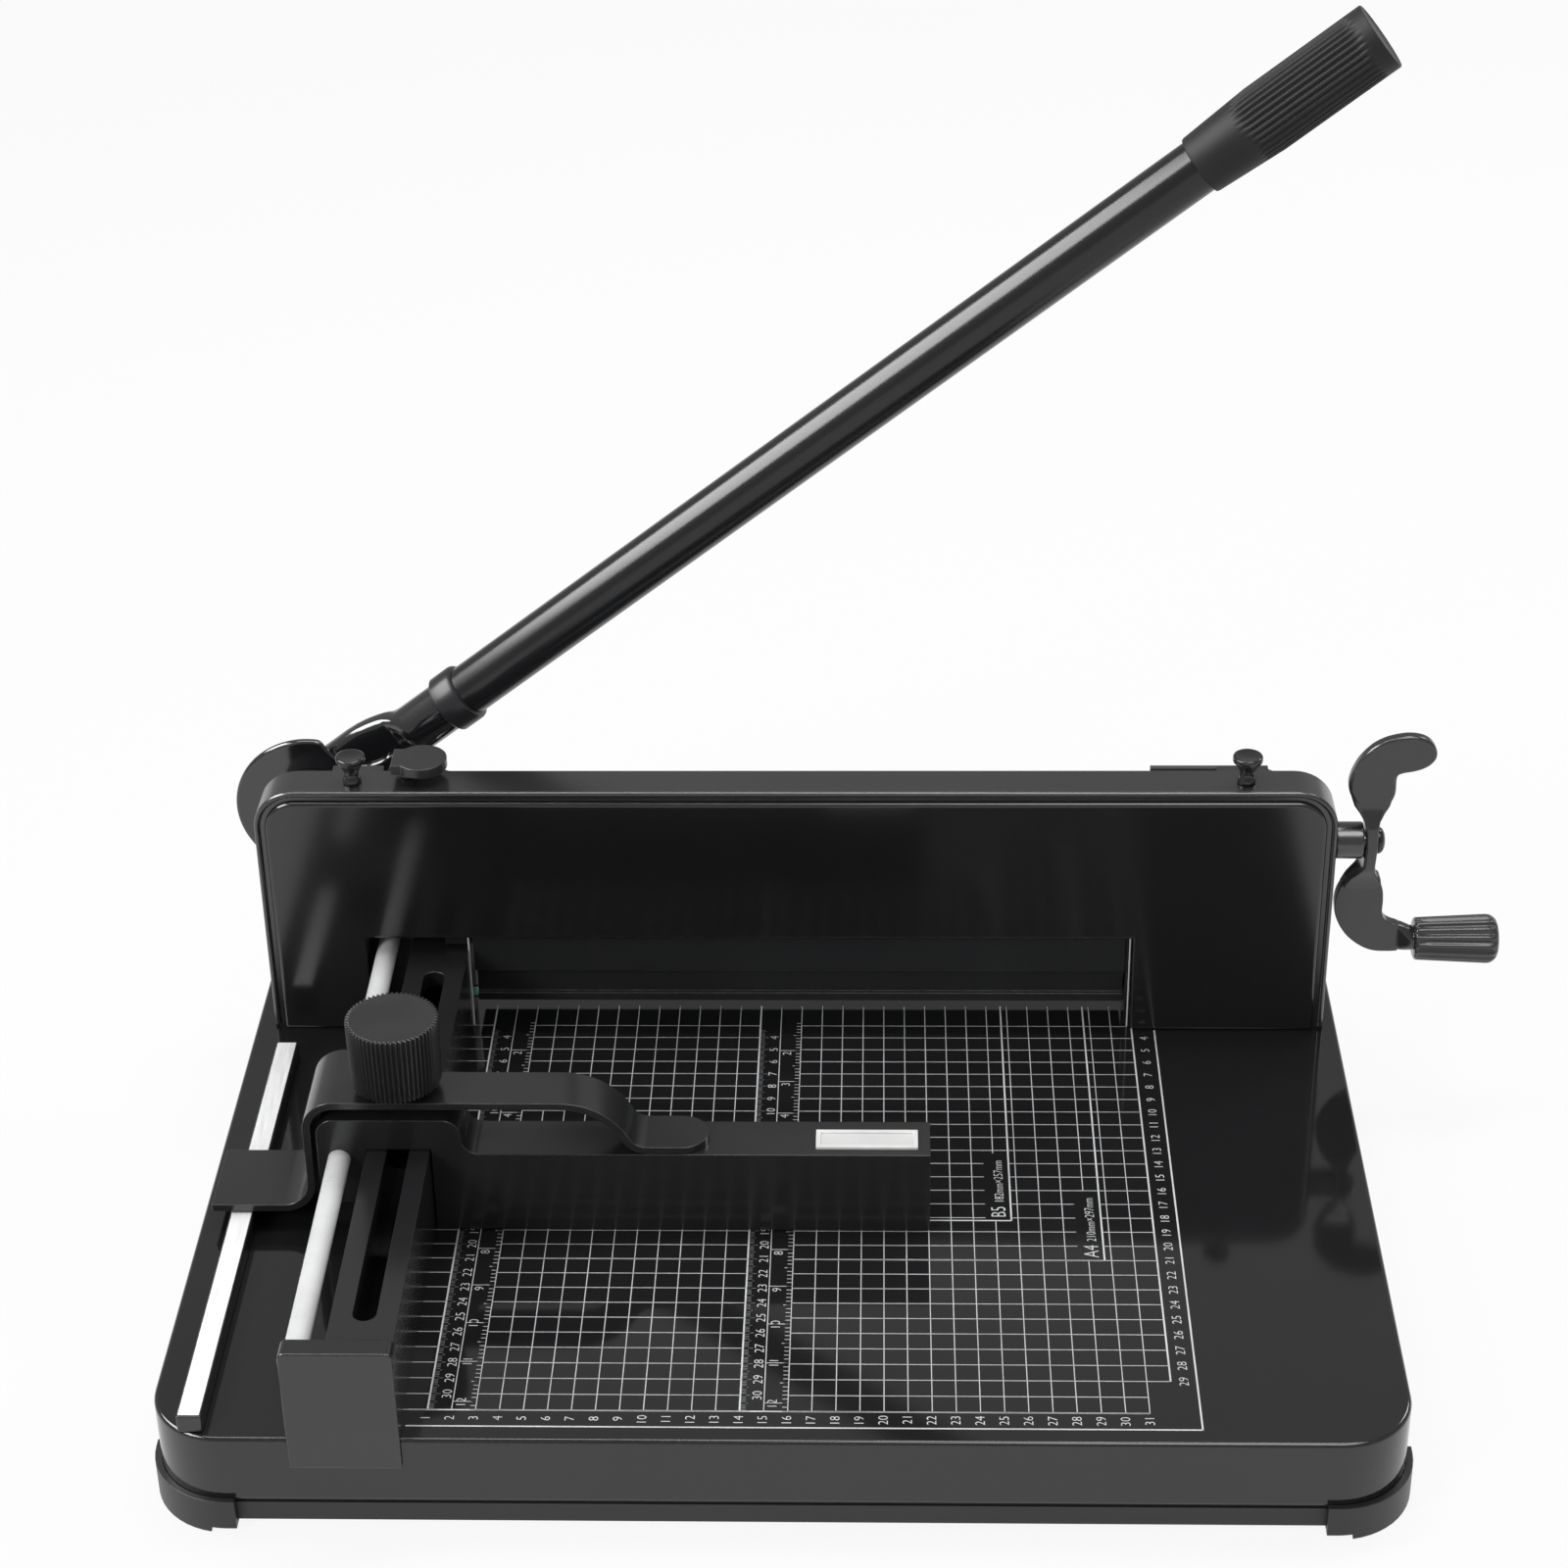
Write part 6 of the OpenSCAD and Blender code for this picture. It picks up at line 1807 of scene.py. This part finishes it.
@dataclass
class Studio:
    """Pale floor, soft light and the camera."""

    ambient: float = 0.42
    floor_half: float = 40.0
    floor_grey: float = 0.86
    floor_white: float = 0.9
    eye: tuple[float, float, float] = (0.0429, -1.2330, 0.9786)
    elevation: float = 30.6
    yaw: float = -1.96
    roll: float = 1.0
    lens: float = 76.66
    sensor: float = 36.0
    target: tuple[float, float, float] = (0.0, 0.0, 0.12)
    lamps: tuple[SoftBox, ...] = (
        SoftBox("overhead", (-0.1, 0.3, 1.9), 17.0, (1.6, 0.3)),
        SoftBox("left_panel", (-1.6, -0.15, 1.6), 75.0, (2.0, 0.9), Reach.GLOSS),
        SoftBox("top_panel", (0.5, -0.6, 2.0), 18.0, (1.2, 0.8), Reach.GLOSS),
        SoftBox("front_left", (-1.5, -1.6, 1.3), 18.0, (0.5, 0.6), Reach.MATT),
        SoftBox("back_right", (1.5, 1.3, 1.6), 10.0, (0.5, 0.6)))

    def pale(self, bench: NodeBench) -> Tap:
        """1 where the camera, a reflection or a clear piece looks at the surroundings.

        Args:
            bench: Where the nodes are made.

        Returns:
            The mask.
        """
        path = bench.node("ShaderNodeLightPath", output="Is Camera Ray")
        seen = path + path.other("Is Glossy Ray") + path.other("Is Transmission Ray")
        return seen.maths("MINIMUM", seen, 1.0)

    def floor(self) -> None:
        """The floor, which keeps the object's shadow."""
        material = bpy.data.materials.new("floor_paper")
        material.use_nodes = True
        bench = NodeBench(material.node_tree)
        matt = bench.node("ShaderNodeBsdfDiffuse", {}, {"Color": paint((1, 1, 1), self.floor_grey)})
        white = bench.node("ShaderNodeEmission", {}, {"Color": (1, 1, 1, 1), "Strength": 1.0})
        share = self.pale(bench) * self.floor_white
        mixed = bench.node("ShaderNodeMixShader", {}, {0: share, 1: matt, 2: white})
        bench.end("ShaderNodeOutputMaterial", mixed)
        mesh = bpy.data.meshes.new("floor")
        h = self.floor_half
        mesh.from_pydata([(-h, -h, 0), (h, -h, 0), (h, h, 0), (-h, h, 0)], [], [(0, 1, 2, 3)])
        mesh.materials.append(material)
        placed("floor", mesh)

    def world(self) -> None:
        """A plain soft light from all round."""
        world = bpy.data.worlds.new("studio")
        bpy.context.scene.world = world
        world.use_nodes = True
        bench = NodeBench(world.node_tree)
        soft = bench.node("ShaderNodeBackground", {}, {"Color": (1, 1, 1, 1), "Strength": self.ambient})
        bench.end("ShaderNodeOutputWorld", soft)

    def hang(self, lamp: SoftBox) -> None:
        """Hangs one soft box so that it points at the cutter.

        Args:
            lamp: The soft box.
        """
        data = bpy.data.lights.new(lamp.name, "AREA")
        data.shape, data.energy = "RECTANGLE", lamp.power
        data.size, data.size_y = lamp.size
        place = Vector(lamp.place)
        turn = (Vector(self.target) - place).to_track_quat("-Z", "Y").to_matrix().to_4x4()
        made = placed(lamp.name, data)
        made.matrix_world = Matrix.Translation(place) @ turn
        made.visible_diffuse = lamp.reach is not Reach.GLOSS
        made.visible_glossy = lamp.reach is not Reach.MATT

    def camera(self) -> None:
        """The photograph's camera."""
        el, yaw, roll = (math.radians(v) for v in (self.elevation, self.yaw, self.roll))
        tilt = Matrix(((1, 0, 0), (0, math.sin(el), math.cos(el)), (0, math.cos(el), -math.sin(el))))
        rows = Matrix.Rotation(roll, 3, "Z") @ tilt @ Matrix.Rotation(yaw, 3, "Z")
        turn = Matrix((rows[0], rows[1], -rows[2])).transposed()
        data = bpy.data.cameras.new("camera")
        data.lens, data.sensor_width = self.lens, self.sensor
        made = placed("camera", data)
        made.matrix_world = Matrix.Translation(Vector(self.eye)) @ turn.to_4x4()
        bpy.context.scene.camera = made

    def build(self) -> None:
        """Makes the studio."""
        self.camera()
        self.floor()
        self.world()
        for lamp in self.lamps:
            self.hang(lamp)
        bpy.context.scene.view_settings.view_transform = "Standard"


def main() -> None:
    """Builds the cutter's sub-assemblies and the studio."""
    logging.basicConfig(level=logging.INFO, format="%(message)s")
    for part in (Studio(), Base(), TablePrint(), SideGuide(), Housing(), ClampDrive(), CuttingHead(),
                 BackGauge()):
        LOG.info("building %s", type(part).__name__)
        part.build()


if __name__ == "__main__":
    main()
